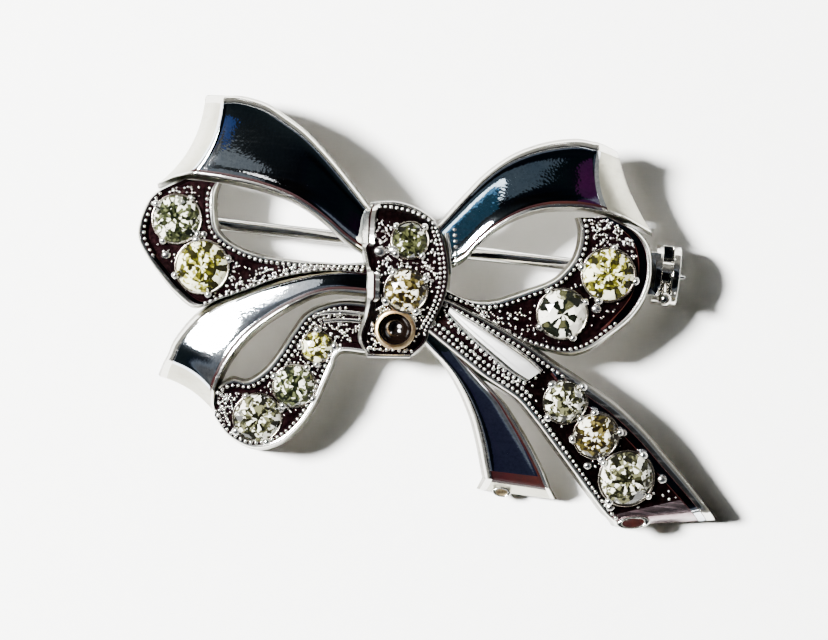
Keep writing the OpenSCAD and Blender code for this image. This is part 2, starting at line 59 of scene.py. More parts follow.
def pick(*objects):
    """Leaves only these objects selected, with the first one active, in object mode."""
    if bpy.context.object and bpy.context.object.mode != "OBJECT":
        bpy.ops.object.mode_set(mode="OBJECT")
    deselect()
    for o in objects:
        o.select_set(True)
    bpy.context.view_layer.objects.active = objects[0]


def place(along, across, height):
    """A point of the bow, in metres, from percentages of its half width, half height and rise."""
    x = along * HALF_W / 100 - MIDDLE_X
    y = across * HALF_H / 100 - MIDDLE_Y
    return Vector((x, y, height * RISE / 100)) * MM


deselect()

# %% [markdown]
# ## Effects that several finishes share
# Worn plate is never one colour. The group below gives a faint cloud of tint, specks of tarnish,
# fine scratches and a grain, each as a mask, so that each finish takes as much of it as it needs.
# A group is built once and placed in each material with its own scale and strength.


# %% Helpers for shader nodes
def fill(tree, node, values):
    """Gives a node's settings and inputs their values, or links an input to a pair of node and output."""
    for key, value in values.items():
        if isinstance(key, str) and key not in node.inputs:
            setattr(node, key, value)
        elif isinstance(value, tuple) and isinstance(value[1], str):
            tree.links.new(value[0].outputs[value[1]], node.inputs[key])
        else:
            node.inputs[key].default_value = value


def add_node(tree, kind, *inputs, **values):
    """A new shader node, whose first inputs are given in their order, and the rest by name."""
    node = tree.nodes.new("ShaderNode" + kind)
    fill(tree, node, {**values, **dict(enumerate(inputs))})
    return node


def remap(tree, value, low, high, to_low=0.0, to_high=1.0, **settings):
    """A Map Range node, which takes values between low and high to values between the other two."""
    ends = {"From Min": low, "From Max": high, "To Min": to_low, "To Max": to_high}
    return add_node(tree, "MapRange", value, **settings, **ends)


def new_group(name, inputs, outputs):
    """A shader node group with number sockets, and its input and output nodes."""
    group = bpy.data.node_groups.new(name, "ShaderNodeTree")
    new_socket = group.interface.new_socket
    for socket, value in inputs.items():
        new_socket(socket, in_out="INPUT", socket_type="NodeSocketFloat").default_value = value
    for socket in outputs:
        new_socket(socket, in_out="OUTPUT", socket_type="NodeSocketFloat")
    return group, group.nodes.new("NodeGroupInput"), group.nodes.new("NodeGroupOutput")


# %% A shader node group for plate wear
def wear_group():
    """Four masks of worn plate: a wide cloud, tarnish specks, fine scratches and a grain."""
    group, ins, outs = new_group("plate_wear", {"Scale": 1.0, "Speck": 0.5},
                                 ("Cloud", "Specks", "Scratches", "Grain"))
    coords = add_node(group, "TexCoord")
    size = add_node(group, "VectorMath", (coords, "Object"), operation="SCALE", Scale=(ins, "Scale"))
    here = (size, "Vector")
    cloud = add_node(group, "TexNoise", here, Scale=260.0, Detail=3.0)
    speck = add_node(group, "TexNoise", here, Scale=2600.0, Detail=4.0, Roughness=0.7)
    step = remap(group, (speck, "Fac"), 0.45, 0.62)
    amount = add_node(group, "Math", (step, "Result"), (ins, "Speck"), operation="MULTIPLY")
    stretch = add_node(group, "Mapping", here, Scale=(300.0, 5200.0, 900.0), Rotation=(0.3, 0.2, 0.5))
    scratch = add_node(group, "TexNoise", (stretch, "Vector"), Scale=1.0, Detail=2.0)
    fine = remap(group, (scratch, "Fac"), 0.56, 0.7)
    grain = add_node(group, "TexVoronoi", here, Scale=3600.0)
    fill(group, outs, {"Cloud": (cloud, "Fac"), "Specks": (amount, "Value"),
                       "Scratches": (fine, "Result"), "Grain": (grain, "Distance")})
    return group


WEAR = wear_group()
print("group sockets:", [s.name for s in WEAR.interface.items_tree])

# %% [markdown]
# ## The metal finishes
# The brooch has one plating, which has worn in another way on each part of it. One function builds
# all its finishes: two colours blended by the cloud, a tarnish colour let in by the specks, and
# roughness that rises in scratches. The mirror hollows are nearly smooth, the rims are pale, the
# walls and folds are satin, and the grounds between the beads are dark and granulated. The walls'
# colour is darkened far below the folds' as painted shade, where the real walls fall in shadow.

# %% Metal materials
GRAIN_DEEP = 0.06 * MM


def new_material(name):
    """A material, its node tree and its shader."""
    mat = bpy.data.materials.new(name)
    mat.use_nodes = True
    return mat, mat.node_tree, mat.node_tree.nodes["Principled BSDF"]


def metal(name, light, deep, tarnish, speck, rough, rougher, bump=0.0, scale=1.0, plating=1.0):
    """Worn plate in two tones, with its tarnish and specks, and its roughness plain and scratched."""
    mat, tree, skin = new_material(name)
    wear = add_node(tree, "Group", node_tree=WEAR, Scale=scale, Speck=speck)
    spread = remap(tree, (wear, "Cloud"), 0.35, 0.65)
    tint = add_node(tree, "Mix", data_type="RGBA", Factor=(spread, "Result"), A=(*light, 1), B=(*deep, 1))
    stain = add_node(tree, "Mix", data_type="RGBA", Factor=(wear, "Specks"), A=(tint, "Result"),
                     B=(*tarnish, 1))
    gloss = remap(tree, (wear, "Scratches"), 0.0, 1.0, rough, rougher)
    fill(tree, skin, {"Base Color": (stain, "Result"), "Roughness": (gloss, "Result"), "Metallic": plating})
    if bump:
        relief = add_node(tree, "Bump", Strength=bump, Distance=GRAIN_DEEP, Height=(wear, "Grain"))
        fill(tree, skin, {"Normal": (relief, "Normal")})
    return mat


mirror = metal("mirror_hollow", (0.84, 0.87, 0.90), (0.62, 0.69, 0.78), (0.30, 0.36, 0.42), 0.3, 0.042, 0.055,
               bump=0.03, scale=1.4)
rim = metal("polished_rim", (0.96, 0.95, 0.90), (0.88, 0.87, 0.80), (0.50, 0.42, 0.30), 0.15, 0.15, 0.26)
# The walls' colour is darkened far below the plating's as painted shade; the folds are the same satin left
# paler.
wall = metal("satin_wall_painted_shade", (0.18, 0.168, 0.125), (0.11, 0.102, 0.072), (0.10, 0.08, 0.05), 0.3, 0.30, 0.44)
fold_face = metal("pale_fold", (0.46, 0.45, 0.37), (0.34, 0.33, 0.27), (0.28, 0.24, 0.17), 0.2, 0.30, 0.44)
blush = metal("rosy_end", (0.34, 0.27, 0.285), (0.22, 0.15, 0.165), (0.10, 0.03, 0.04), 0.3, 0.26, 0.38)
seam = metal("tarnished_seam", (0.008, 0.001, 0.0015), (0.014, 0.003, 0.002), (0.004, 0.002, 0.002), 0.5,
             0.4, 0.55, plating=0.0)
seam.node_tree.nodes["Principled BSDF"].inputs["Specular IOR Level"].default_value = 0.12
ground = metal("granulated_ground", (0.0026, 0.0008, 0.0012), (0.0010, 0.0005, 0.0006), (0.03, 0.012, 0.012),
               0.10, 0.46, 0.60, bump=0.35, scale=0.8)
back = metal("worn_back", (0.56, 0.55, 0.52), (0.44, 0.42, 0.39), (0.30, 0.26, 0.22), 0.4, 0.36, 0.55,
             bump=0.25)
bright = metal("bright_bead", (0.96, 0.95, 0.92), (0.88, 0.86, 0.82), (0.40, 0.34, 0.28), 0.25, 0.18, 0.28)
print("metals:", [m.name for m in (mirror, rim, wall, fold_face, blush, seam, ground, back, bright)])

# %% [markdown]
# ## The ribbons' tables
# Each row is one section across a ribbon: its outer edge (along, across, height, foot), its inner
# edge (the same four), how hollow it is, and how far its middle swings sideways. They are the same
# sections as the solids have, so the visible ribbon lies where the solid one does.

# %% Section tables, in percentages
UPPER_LEFT_BAND = [
    [-12, 28, 76, 48, -10, 8, 74, 48, 40, 0],
    [-20, 38.5, 80, 52, -20, 14, 78, 52, 80, 0],
    [-29.5, 50, 83, 54, -28, 21, 80, 54, 100, 0],
    [-39, 60, 85, 56, -36, 27, 81, 55, 100, 0],
    [-47, 66, 85, 56, -44, 31, 81, 55, 100, 0],
    [-55, 71, 84, 54, -55, 34, 80, 54, 100, 0],
    [-64, 73, 82.5, 48, -67, 35.5, 78, 50, 90, 1],
    [-69, 72.7, 81, 41, -76, 36, 75.5, 44, 70, 2.5],
    [-70.8, 72.6, 79, 37, -79.4, 36, 73, 41, 50, 3],
    [-74.5, 73, 58, 14, -85.5, 34, 60, 20, 20, 3.5],
    [-78, 73, 26, 0, -91.5, 30.5, 36, 0, 0, 4]]
LEFT_CRESCENT = [
    [-82, 34, 62, 20, -69, 34, 64, 45, 0, 0],
    [-91.5, 26, 62, 6, -70, 28.5, 65, 44, 0, 0],
    [-95, 16, 62, 0, -69.3, 20, 66, 43, 0, 0],
    [-95.5, 6, 62, 0, -67.5, 13, 66, 43, 0, 0],
    [-91.5, -2.5, 62, 4, -63.5, 8.5, 67, 43, 0, 0],
    [-86, -10, 62, 12, -58, 5.5, 67, 43, 0, 0],
    [-79.5, -17.5, 62, 22, -53, 4, 68, 43, 0, 0],
    [-72, -22.5, 62, 32, -48.5, 3.3, 68, 43, 0, 0],
    [-63.5, -17.5, 63, 38, -44, 3, 69, 43, 0, 0],
    [-55, -12.5, 65, 42, -39.5, 3, 70, 44, 0, 0],
    [-45, -6, 67, 44, -34.5, 3, 71, 46, 0, 0],
    [-35, -2, 70, 46, -28, 3.4, 72, 48, 0, 0],
    [-24, 0.8, 72, 48, -21, 3.8, 73, 50, 0, 0],
    [-10, 1, 74, 50, -10, 5.5, 74, 50, 0, 0]]
LOWER_LEFT_BAND = [
    [-9, 3, 68, 46, -9, -8, 68, 46, 40, 0],
    [-20, 1.5, 67, 46, -22, -8.5, 68, 46, 70, 0],
    [-30, -1, 65, 45, -30, -11.5, 68, 46, 80, 0],
    [-40, -5, 62, 43, -36, -16, 67, 45, 80, 0],
    [-50, -10, 58, 40, -42, -21.5, 66, 44, 80, 0],
    [-59, -15.5, 54, 36, -48, -28, 65, 43, 80, 0],
    [-66, -20.5, 51, 32, -53, -35, 64, 42, 80, 0],
    [-72.5, -28, 49, 28, -57.5, -44, 62, 40, 80, 0],
    [-78, -38.5, 47.5, 22, -60.5, -53, 59, 34, 60, 1],
    [-80, -46, 45.5, 17, -61.8, -58.5, 54, 25, 40, 1.8],
    [-80.8, -48.2, 43.5, 14, -62, -60.8, 51, 21, 30, 2],
    [-82, -52, 31, 5, -62, -65, 38, 8, 10, 2],
    [-83, -56, 16, 0, -61.5, -69.5, 22, 0, 0, 2]]
LOWER_LEFT_STRIP = [
    [-8, -34.5, 60, 44, -8, -12, 66, 45, 0, 0],
    [-17, -34.5, 60, 42, -21, -13, 65, 44, 0, 0],
    [-20, -37, 59, 39, -31, -19, 64, 43, 0, 0],
    [-21, -42, 58, 37, -35.8, -28, 62, 42, 0, 0],
    [-23, -50, 57, 35, -39.5, -37.5, 60, 41, 0, 0],
    [-25.5, -60, 55, 32, -43, -45, 58, 40, 0, 0],
    [-30, -70.5, 53, 27, -47, -50.5, 56, 38, 0, 0],
    [-37, -79.5, 51, 20, -51, -53.5, 54, 34, 0, 0],
    [-46, -83, 49, 12, -55.5, -53, 54, 30, 0, 0],
    [-55, -79, 48, 4, -58.5, -54.5, 55, 26, 0, 0],
    [-61, -71, 48, 0, -60.5, -57, 57, 22, 0, 0]]
UPPER_RIGHT_BAND = [
    [11, 26, 76, 50, 12, 6, 74, 50, 40, 0],
    [20, 41.5, 80, 54, 21, 11.5, 78, 54, 80, 0],
    [26, 51, 83, 57, 26, 19.5, 80, 56, 100, 0],
    [33.5, 59.5, 86, 59, 32, 27.5, 82, 57, 100, 0],
    [41, 65, 87, 60, 40, 34.5, 83, 58, 100, 0],
    [49, 68.8, 87, 60, 49, 39, 83, 58, 100, 0],
    [57.5, 71, 86, 58, 60, 41, 82, 57, 90, -1],
    [63.8, 70.7, 84, 53, 68.5, 40.8, 80, 54, 70, -2],
    [66, 70.5, 82, 50, 71, 40.5, 77.5, 52, 50, -2.5],
    [70, 69.5, 66, 36, 79.5, 38, 66, 42, 20, -2],
    [73, 68.5, 46, 24, 88.5, 34, 50, 30, 0, -1.5]]
RIGHT_CRESCENT = [
    [73, 39, 66, 44, 61, 37, 68, 53, 0, 0],
    [82.5, 34, 66, 44, 62.5, 31.5, 68, 53, 0, 0],
    [87.5, 27, 66, 44, 62.7, 25, 68, 52, 0, 0],
    [89.5, 16, 66, 44, 61.5, 18.5, 68, 51, 0, 0],
    [88.3, 5.5, 66, 44, 59, 13, 68, 51, 0, 0],
    [84, -5, 66, 44, 55.5, 8, 69, 51, 0, 0],
    [77, -14, 66, 45, 51, 4.5, 70, 50, 0, 0],
    [70.5, -21, 66, 46, 46, 1.5, 71, 49, 0, 0],
    [63, -24.5, 67, 46, 41, -1.5, 71, 48, 0, 0],
    [52, -23, 68, 47, 35.5, -4.5, 72, 48, 0, 0],
    [41, -19, 69, 48, 29, -6, 73, 48, 0, 0],
    [30, -13.5, 71, 49, 22.5, -4.8, 73, 49, 0, 0],
    [13, -9, 72, 50, 13, 0, 73, 50, 0, 0]]
RIGHT_TAIL = [
    [9, -4, 72, 48, 5, -17, 70, 46, 0, 0],
    [18, -6.5, 74, 48, 12, -21.5, 71, 46, 0, 0],
    [25, -9.5, 75, 48, 19, -27, 71, 46, 0, 0],
    [33, -13.5, 76, 48, 26.5, -33, 71, 44, 0, 0],
    [41, -18, 76, 47, 33.5, -38.5, 70, 42, 0, 0],
    [49, -22.8, 75, 45, 40.5, -43, 69, 40, 0, 0],
    [57, -28.3, 73, 42, 47, -47.5, 67, 38, 0, 0],
    [66, -34, 70, 39, 53.5, -55, 64, 34, 0, 0],
    [75, -40, 66, 35, 60, -63.5, 60, 30, 0, 0],
    [84.5, -47, 61, 30, 66, -71.5, 56, 25, 0, 0],
    [94, -56, 56, 24, 72, -79.5, 51, 18, 0, 0],
    [104, -67.5, 50, 17, 78, -87.5, 46, 11, 0, 0],
    [113, -78, 45, 10, 83, -94, 42, 5, 0, 0],
    [121, -88, 40, 3, 86.5, -97.5, 38, 1, 0, 0],
    [124, -92, 16, 0, 88, -100, 14, 0, 0, 0]]
TAIL_CHANNEL = [
    [19, -9.5, 78, 62, 18.5, -12, 77, 62, 20, 0],
    [26, -13.5, 79, 62, 24, -18, 77.5, 62, 40, 0],
    [34, -18.3, 79.5, 62, 31, -24.5, 77.5, 62, 50, 0],
    [42, -23.2, 79, 60, 38, -30.5, 76.5, 60, 50, 0],
    [49, -28, 77.5, 58, 44, -35.5, 75, 58, 50, 0],
    [54.5, -33, 75, 56, 49.5, -38.5, 73, 56, 30, 0]]
CENTRE_TAIL = [
    [4, -20, 62, 44, 16, -20, 64, 44, 40, 0],
    [12, -28, 62, 42, 25, -31, 64, 43, 60, 0],
    [20, -36.5, 59, 38, 34, -41, 62, 40, 80, 0],
    [26.5, -47, 55, 34, 41.5, -49, 58, 36, 80, 0],
    [31.5, -58, 49, 28, 47.5, -58, 53, 30, 80, 0],
    [35, -69, 43, 20, 53.5, -68, 47, 22, 80, 0],
    [37.5, -79, 37, 11, 59, -78.5, 41, 13, 70, 0],
    [38.7, -83.8, 33.5, 5, 61.8, -85, 37.5, 6.5, 50, 0],
    [39, -85.5, 31.5, 3, 62.5, -86.5, 35.5, 5, 40, 0],
    [37.5, -90.5, 12, 0, 65, -91, 16, 0, 0, 0]]
KNOT = [
    [-14, 32.5, 74, 46, 10, 27.5, 74, 46, 0, 3.5],
    [-15.6, 28, 84, 43, 12, 24, 84, 43, 0, 3],
    [-15.4, 20, 90, 43, 14, 19, 90, 43, 0, 1.5],
    [-14.6, 13, 93, 43, 15.6, 13, 92, 43, 0, 0.5],
    [-12.8, 6, 94, 43, 16.8, 6, 92, 43, 0, 0],
    [-11.5, 0, 93, 43, 17, -1, 90, 43, 0, 0],
    [-11, -7, 90, 43, 16, -8, 87, 43, 0, 0],
    [-10.8, -13, 84, 43, 14.5, -14, 82, 43, 0, 0],
    [-11.5, -20, 74, 43, 12.5, -20, 74, 43, 0, 0],
    [-12.5, -28, 66, 44, 11.5, -27, 66, 44, 0, 0],
    [-9, -35.5, 60, 45, 7, -33.5, 60, 45, 0, 0]]
print("rows:", sum(len(t) for t in (UPPER_LEFT_BAND, LEFT_CRESCENT, LOWER_LEFT_BAND, KNOT)))

# %% [markdown]
# ## A ribbon from its sections
# A cast ribbon changes its width, tilt and height all the way along, so no primitive has its shape.
# A grid is added with one row for each section, its points are carried to the sections, and merging
# the seam and the ends closes it. Rows between the table's rows lie on a smooth curve through them.

# %% Reading the tables
# Sections to each row of a table, for a ribbon's own mesh and for the lines that small parts lie on
STEPS, FINE_STEPS = 6, 10


def mm_at(*spot):
    """A point of the bow in mm, from its percentages."""
    return np.array(place(*spot)) / MM


def smooth_rows(rows, steps):
    """The table's rows with steps sections from each row to the next, on a Catmull-Rom curve."""
    rows = np.array(rows, float)
    ends = np.vstack([2 * rows[0] - rows[1], rows, 2 * rows[-1] - rows[-2]])
    out = []
    for k in range(len(rows) - 1):
        p0, p1, p2, p3 = ends[k:k + 4]
        for t in np.arange(steps) / steps:
            out.append(0.5 * (2 * p1 + (p2 - p0) * t + (2 * p0 - 5 * p1 + 4 * p2 - p3) * t * t
                              + (3 * p1 - p0 - 3 * p2 + p3) * t ** 3))
    return np.vstack([out, rows[-1]])


def span(row):
    """A section's outer edge, the way across it, its width and how far its middle swings, in mm."""
    outer = mm_at(*row[0:3])
    across = mm_at(*row[4:7]) - outer
    w = math.hypot(across[0], across[1])
    return outer, across, w, np.array([-across[1], across[0], 0]) / w * row[9] * HALF_W / 100


print("sections of the knot:", len(smooth_rows(KNOT, STEPS)))

# %% Profiles across a ribbon: offsets in mm, depths in mm and finishes
RIM, HOLLOW, SEAM, GROUND, WALL, BACK, FOLD = range(7)
FINISHES = [rim, mirror, seam, ground, wall, back, fold_face]
# A polished ribbon's rims and seam in mm, and the strips of its hollow
OUTER_RIM, INNER_RIM, SEAM_WIDE, STRIPS = 0.46, 0.28, 0.2, 16
# A stone-set ribbon's rim, shelf and ground in mm, and the points of its near side and of its floor
SET_RIM, SHELF_WIDE, GROUND_FROM, GROUND_DEEP = 0.24, 0.6, 0.72, -0.3
NEAR_SIDE, FLOOR = 7, (0.2, 0.4, 0.6, 0.8)


def polished_profile(w, dish, row):
    """A wide rounded rim, a hollow dish mm deep, a dark seam and a fine rim."""
    a, b = min(OUTER_RIM, 0.15 * w), min(INNER_RIM, 0.12 * w)
    out = [(0, -0.30, RIM), (0.12 * a, -0.2, RIM), (0.4 * a, -0.08, RIM), (0.8 * a, 0, RIM),
           (a, -0.02, RIM), (a + 0.03, -0.1, HOLLOW)]
    first, last = a + 0.06, w - b - SEAM_WIDE
    for k in range(STRIPS + 1):
        t = k / STRIPS
        depth = -0.12 - dish * (1 - (2 * t - 1) ** 4)
        out.append((first + (last - first) * t, depth, HOLLOW if k < STRIPS else SEAM))
    return out + [(w - b - 0.04, -0.14, SEAM), (w - b, -0.02, RIM), (w - 0.6 * b, 0, RIM),
                  (w - 0.2 * b, -0.04, RIM), (w, -0.14, WALL)]


def set_profile(w, dish, row):
    """A plain rim, a shelf for beads and the granulated ground, and the same again in reverse."""
    r, s, g = min(SET_RIM, 0.07 * w), min(SHELF_WIDE, 0.2 * w), min(GROUND_FROM, 0.25 * w)
    near = [(0, -0.16, RIM), (0.25 * r, -0.05, RIM), (0.6 * r, 0, RIM), (r, -0.03, RIM),
            (1.2 * r, -0.14, GROUND), (s, -0.17, GROUND), (g, GROUND_DEEP, GROUND)]
    middle = [(g + (w - 2 * g) * t, GROUND_DEEP, GROUND) for t in FLOOR]
    far = [(w - x, z, RIM if x <= r else GROUND) for x, z, _ in near[:0:-1]]
    return near + middle + far + [(w, -0.16, WALL)]


print("points across a set ribbon:", len(set_profile(3.0, 0, 0)))


# %% Profiles with bevels in their shelves
def ease(row, start, end):
    """0 before the row start, 1 after the row end, and a smooth step between them."""
    t = min(1.0, max(0.0, (row - start) / (end - start)))
    return t * t * (3 - 2 * t)


def bevelled(w, row, m, rim_wide, bevel_wide):
    """As m goes to 1, a set section's near shelf turns into a dark polished bevel beside a wider rim."""
    r = min(SET_RIM, 0.07 * w) * (1 - m) + rim_wide * m
    bevel = r + 0.06 + bevel_wide * m
    edge, face = (SEAM, HOLLOW) if m else (GROUND, GROUND)
    near = [(0, -0.16, RIM), (0.3 * r, -0.05, RIM), (0.7 * r, 0, RIM), (r, -0.02, edge),
            (r + 0.05, -0.14, face), (bevel + 0.3 * (1 - m), -0.17, edge),
            (bevel + 0.06 + 0.42 * (1 - m), GROUND_DEEP, GROUND)]
    middle = [(bevel + 0.1 + (w - bevel - 0.9) * (t + 0.05), GROUND_DEEP, GROUND) for t in FLOOR]
    return near + middle + set_profile(w, 0, row)[NEAR_SIDE + len(FLOOR):]


def tail_profile(w, dish, row):
    """The right tail: a wide pale rim and a bevel in its lower half, and a smooth face at its end."""
    out = bevelled(w, row, ease(row, 6.2, 7.2), 0.6, 0.54)
    return [(x, z, FOLD if f == GROUND and row > 12.3 else f) for x, z, f in out]


def left_profile(w, dish, row):
    """The left crescent, with a narrow bevel at its lower left."""
    return bevelled(w, row, ease(row, 3.9, 4.5) - ease(row, 6.7, 7.3), 0.30, 0.24)


def right_profile(w, dish, row):
    """The right crescent, with a bevel down its upper right."""
    return bevelled(w, row, 1 - ease(row, 5.0, 6.0), 0.28, 0.56)


# Across the knot's left side, in mm: a plain shelf, and the two bright bevels that break it
SHELF = [(0, -0.16), (0.08, -0.1), (0.2, 0), (0.24, -0.03), (0.3, -0.14), (0.4, -0.16), (0.5, -0.17),
         (0.6, -0.18), (0.66, -0.3)]
BEVELS = [(0, -0.42), (0.05, -0.36), (0.4, 0), (0.44, -0.04), (0.49, -0.14), (0.55, -0.03),
          (0.84, 0.04), (0.88, -0.03), (0.92, -0.3)]
BEVEL_FINISHES = [RIM, RIM, SEAM, SEAM, SEAM, RIM, RIM, SEAM, GROUND]


def knot_profile(w, dish, row):
    """The knot: two pairs of bright bevels down its left side, and a dark beaded right side."""
    m = 1 - ease(row, 2.8, 3.1) + ease(row, 4.4, 4.7) - ease(row, 6.4, 6.7)
    out = []
    for k, (a, b) in enumerate(zip(SHELF, BEVELS)):
        finish = BEVEL_FINISHES[k] if m > 0.5 else RIM if k < 2 else GROUND
        out.append((a[0] + (b[0] - a[0]) * m, a[1] + (b[1] - a[1]) * m, finish))
    return out + [(x, z, f if f == WALL else GROUND) for x, z, f in set_profile(w, dish, row)[NEAR_SIDE:]]


print("points across the knot:", len(knot_profile(3.0, 0, 0)))

# %% Sections and the ribbon maker
# How much wider the foot is than the top on each side, and how hollow the back is, in mm
FOOT_WIDER, BACK_HOLLOW = 0.22, 0.7
# Edges sharper than this stay crisp, and points closer than this, in metres, become one
CRISP, MERGE = math.radians(32), 1e-7


def section(r, profile, hollow, row):
    """One closed ring of points in metres: across the top, then back across the foot."""
    outer, across, w, side = span(r)
    share = max(0.0, r[8]) / 100
    top = profile(w, hollow * share, row)
    ring = [outer + across * x / w + side * 4 * (x / w) * (1 - x / w) + [0, 0, z] for x, z, _ in top]
    for k in range(len(top) - 1, -1, -1):
        t = k / (len(top) - 1)
        p = outer + across * (-FOOT_WIDER / w + t * (1 + 2 * FOOT_WIDER / w)) + side * 4 * t * (1 - t)
        foot = (r[3] + t * (r[7] - r[3])) * RISE / 100
        arch = BACK_HOLLOW * share * math.sin(math.pi * t) * (hollow > 0)
        ring.append([p[0], p[1], max(0.0, foot) + arch])
    return np.array(ring) * MM, [f for _, _, f in top]


def dress(piece, *finishes, body="bow", part="casting", solid="bow_casting"):
    """Adds finishes, and says which body the piece rides and which solid it replaces; what it is, part, is
    not used.
    """
    for mat in finishes:
        piece.data.materials.append(mat)
    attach(piece, body)
    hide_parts(solid)
    print(piece.name, "faces:", len(piece.data.polygons))
    return piece


def edit_merged(piece):
    """Edit mode on a piece, with all of it selected and its doubles merged."""
    pick(piece)
    bpy.ops.object.mode_set(mode="EDIT")
    bpy.ops.mesh.select_all(action="SELECT")
    bpy.ops.mesh.remove_doubles(threshold=MERGE)


def ribbon(name, rows, profile, hollow=0.0, fold=math.inf, edge=0.0, finishes=FINISHES):
    """One closed ribbon. Past its fold, which is a row of its table, the hollow is a plain pale face,
    and edge is how many rows before the fold are tarnished."""
    rings, bands = [], []
    for k, r in enumerate(smooth_rows(rows, STEPS)):
        ring, band = section(r, profile, hollow, k / STEPS)
        if k / STEPS > fold:
            band = [FOLD if f in (HOLLOW, SEAM) else f for f in band]
        elif k / STEPS > fold - edge:
            band = [SEAM if f == HOLLOW else f for f in band]
        rings.append(ring)
        bands.append(band)
    bands = [bands[0]] + bands + [bands[-1]]
    half = len(bands[0])
    closing = [(ring + ring[::-1]) / 2 for ring in (rings[0], rings[-1])]
    rings = np.array([closing[0]] + rings + [closing[1]])
    rings = np.concatenate([rings, rings[:, :1]], axis=1)
    nx, ny = rings.shape[0] - 1, rings.shape[1] - 1
    deselect()
    bpy.ops.mesh.primitive_grid_add(x_subdivisions=nx, y_subdivisions=ny, size=1)
    piece = bpy.context.object
    piece.name = piece.data.name = name
    for mat in finishes:
        piece.data.materials.append(mat)
    co = np.empty(len(piece.data.vertices) * 3)
    piece.data.vertices.foreach_get("co", co)
    i, j = np.rint((co.reshape(-1, 3)[:, :2] + 0.5) * (nx, ny)).astype(int).T
    for face in piece.data.polygons:
        column, row = min(j[v] for v in face.vertices), min(i[v] for v in face.vertices)
        if row in (0, nx - 1) or column in (half - 1, ny - 1):
            face.material_index = WALL
        else:
            face.material_index = bands[row][column] if column < half - 1 else BACK
    piece.data.vertices.foreach_set("co", rings[i, j].ravel())
    piece.data.update()
    edit_merged(piece)
    bpy.ops.mesh.normals_make_consistent(inside=False)
    bpy.ops.object.mode_set(mode="OBJECT")
    bpy.ops.object.shade_smooth_by_angle(angle=CRISP)
    return dress(piece)


# %% [markdown]
# ## The polished ribbons
# The two upper bands, the broad band at the lower left and the short middle tail are hollow mirrors
# between a wide outer rim and a fine inner one. So is the channel down the upper half of the right
# tail, but narrow and satin. Where a band folds over, its end is a plain pale face.

# %% Polished ribbons
upper_left = ribbon("upper_left_band", UPPER_LEFT_BAND, polished_profile, 0.13, fold=8)
upper_right = ribbon("upper_right_band", UPPER_RIGHT_BAND, polished_profile, 0.13, fold=8)
lower_left = ribbon("lower_left_band", LOWER_LEFT_BAND, polished_profile, 0.04, fold=10)
centre_tail = ribbon("centre_tail", CENTRE_TAIL, polished_profile, 0.12, fold=8, edge=1.7)
satin = metal("satin_channel", (0.98, 0.98, 0.97), (0.95, 0.95, 0.93), (0.85, 0.83, 0.80), 0.1, 0.48, 0.55)
ribbon("tail_channel", TAIL_CHANNEL, polished_profile, 0.10, fold=-1,
       finishes=[rim, satin, seam, ground, satin, back, satin])

# %% [markdown]
# ## The stone-set ribbons
# These are flat grounds between a plain rim and a shelf on each side. Here and there the shelf gives
# way to a polished bevel, which mirrors the dark sky. The grounds are cut open under the stones by
# turned seats, because a stone shows what lies under it.

# %% Stone-set ribbons
left_crescent = ribbon("left_crescent", LEFT_CRESCENT, left_profile)
right_crescent = ribbon("right_crescent", RIGHT_CRESCENT, right_profile)
lower_strip = ribbon("lower_left_strip", LOWER_LEFT_STRIP, set_profile)
right_tail = ribbon("right_tail", RIGHT_TAIL, tail_profile,
                    finishes=[rim, mirror, seam, ground, wall, back, blush])
knot = ribbon("knot_band", KNOT, knot_profile)

# %% Places of the stones and of the cup
# Along, across, girdle, share of STONE_D in percent, lean across, lean along, first prong's turn, tint
STONES = {
    "stone_left_1": (-82.3, 15.7, 62.5, 97, -2, 0, 63, "grey_green"),
    "stone_left_2": (-71.3, -4.4, 63.5, 106, -3, 2, 20, "yellow"),
    "stone_lower_1": (-45.4, -69.1, 50, 96, 2, 6, 33, "clear"),
    "stone_lower_2": (-33.5, -52.9, 55.5, 84, 2, 5, 66, "grey_green"),
    "stone_lower_3": (-26.9, -34.2, 59.5, 62, 3, 5, 10, "yellow"),
    "stone_knot_1": (2, 17.9, 89.5, 72, 0, -8, 48, "deep_olive"),
    "stone_knot_2": (2.6, -4.6, 89.5, 84, 2, 7, 35, "olive"),
    "stone_right_1": (74.2, 13, 67, 105, 1, 0, 80, "yellow"),
    "stone_right_2": (59.3, -6.8, 67.5, 99, 2, 3, 33, "star"),
    "stone_tail_1": (64.1, -46, 64.5, 86, 6, 10, 50, "clear"),
    "stone_tail_2": (76.6, -59.6, 59, 90, 7, 9, 18, "olive"),
    "stone_tail_3": (89.4, -77.2, 51, 110, 8, 8, 57, "clear")}
# A full-sized stone's width in mm
STONE_D = 3.5
# A seat's room round its stone, height and middle in mm, and its depth and floor in radii
SEAT_ROOM, SEAT_TALL, SEAT_MIDDLE, SEAT_SINK, SEAT_FLOOR = 0.03, 3.0, 1.42, 0.62, 0.2
# The empty cup's middle in percentages, its lean, and its inner radius, wall and depth in mm
CUP_SPOT = (0.3, -22.6, 78)
CUP_FRAME = Matrix.Translation(place(*CUP_SPOT)) @ Matrix.Rotation(math.radians(16), 4, "X")
CUP_R, CUP_WALL, CUP_DEEP = 1.2, 0.26, 1.3
# The room round the cup, and the height of what cuts it, in mm
CUP_ROOM, CUP_TALL = 0.1, 4.0


def stone_radius(row):
    """A stone's radius in mm."""
    return row[3] * STONE_D / 200


def stone_frame(row):
    """Where a stone's girdle lies and how it leans."""
    lean = Euler((math.radians(row[5]), math.radians(row[4]), 0)).to_matrix().to_4x4()
    return Matrix.Translation(place(*row[0:3])) @ lean


print("stones:", len(STONES), "cup at:", CUP_FRAME.translation)


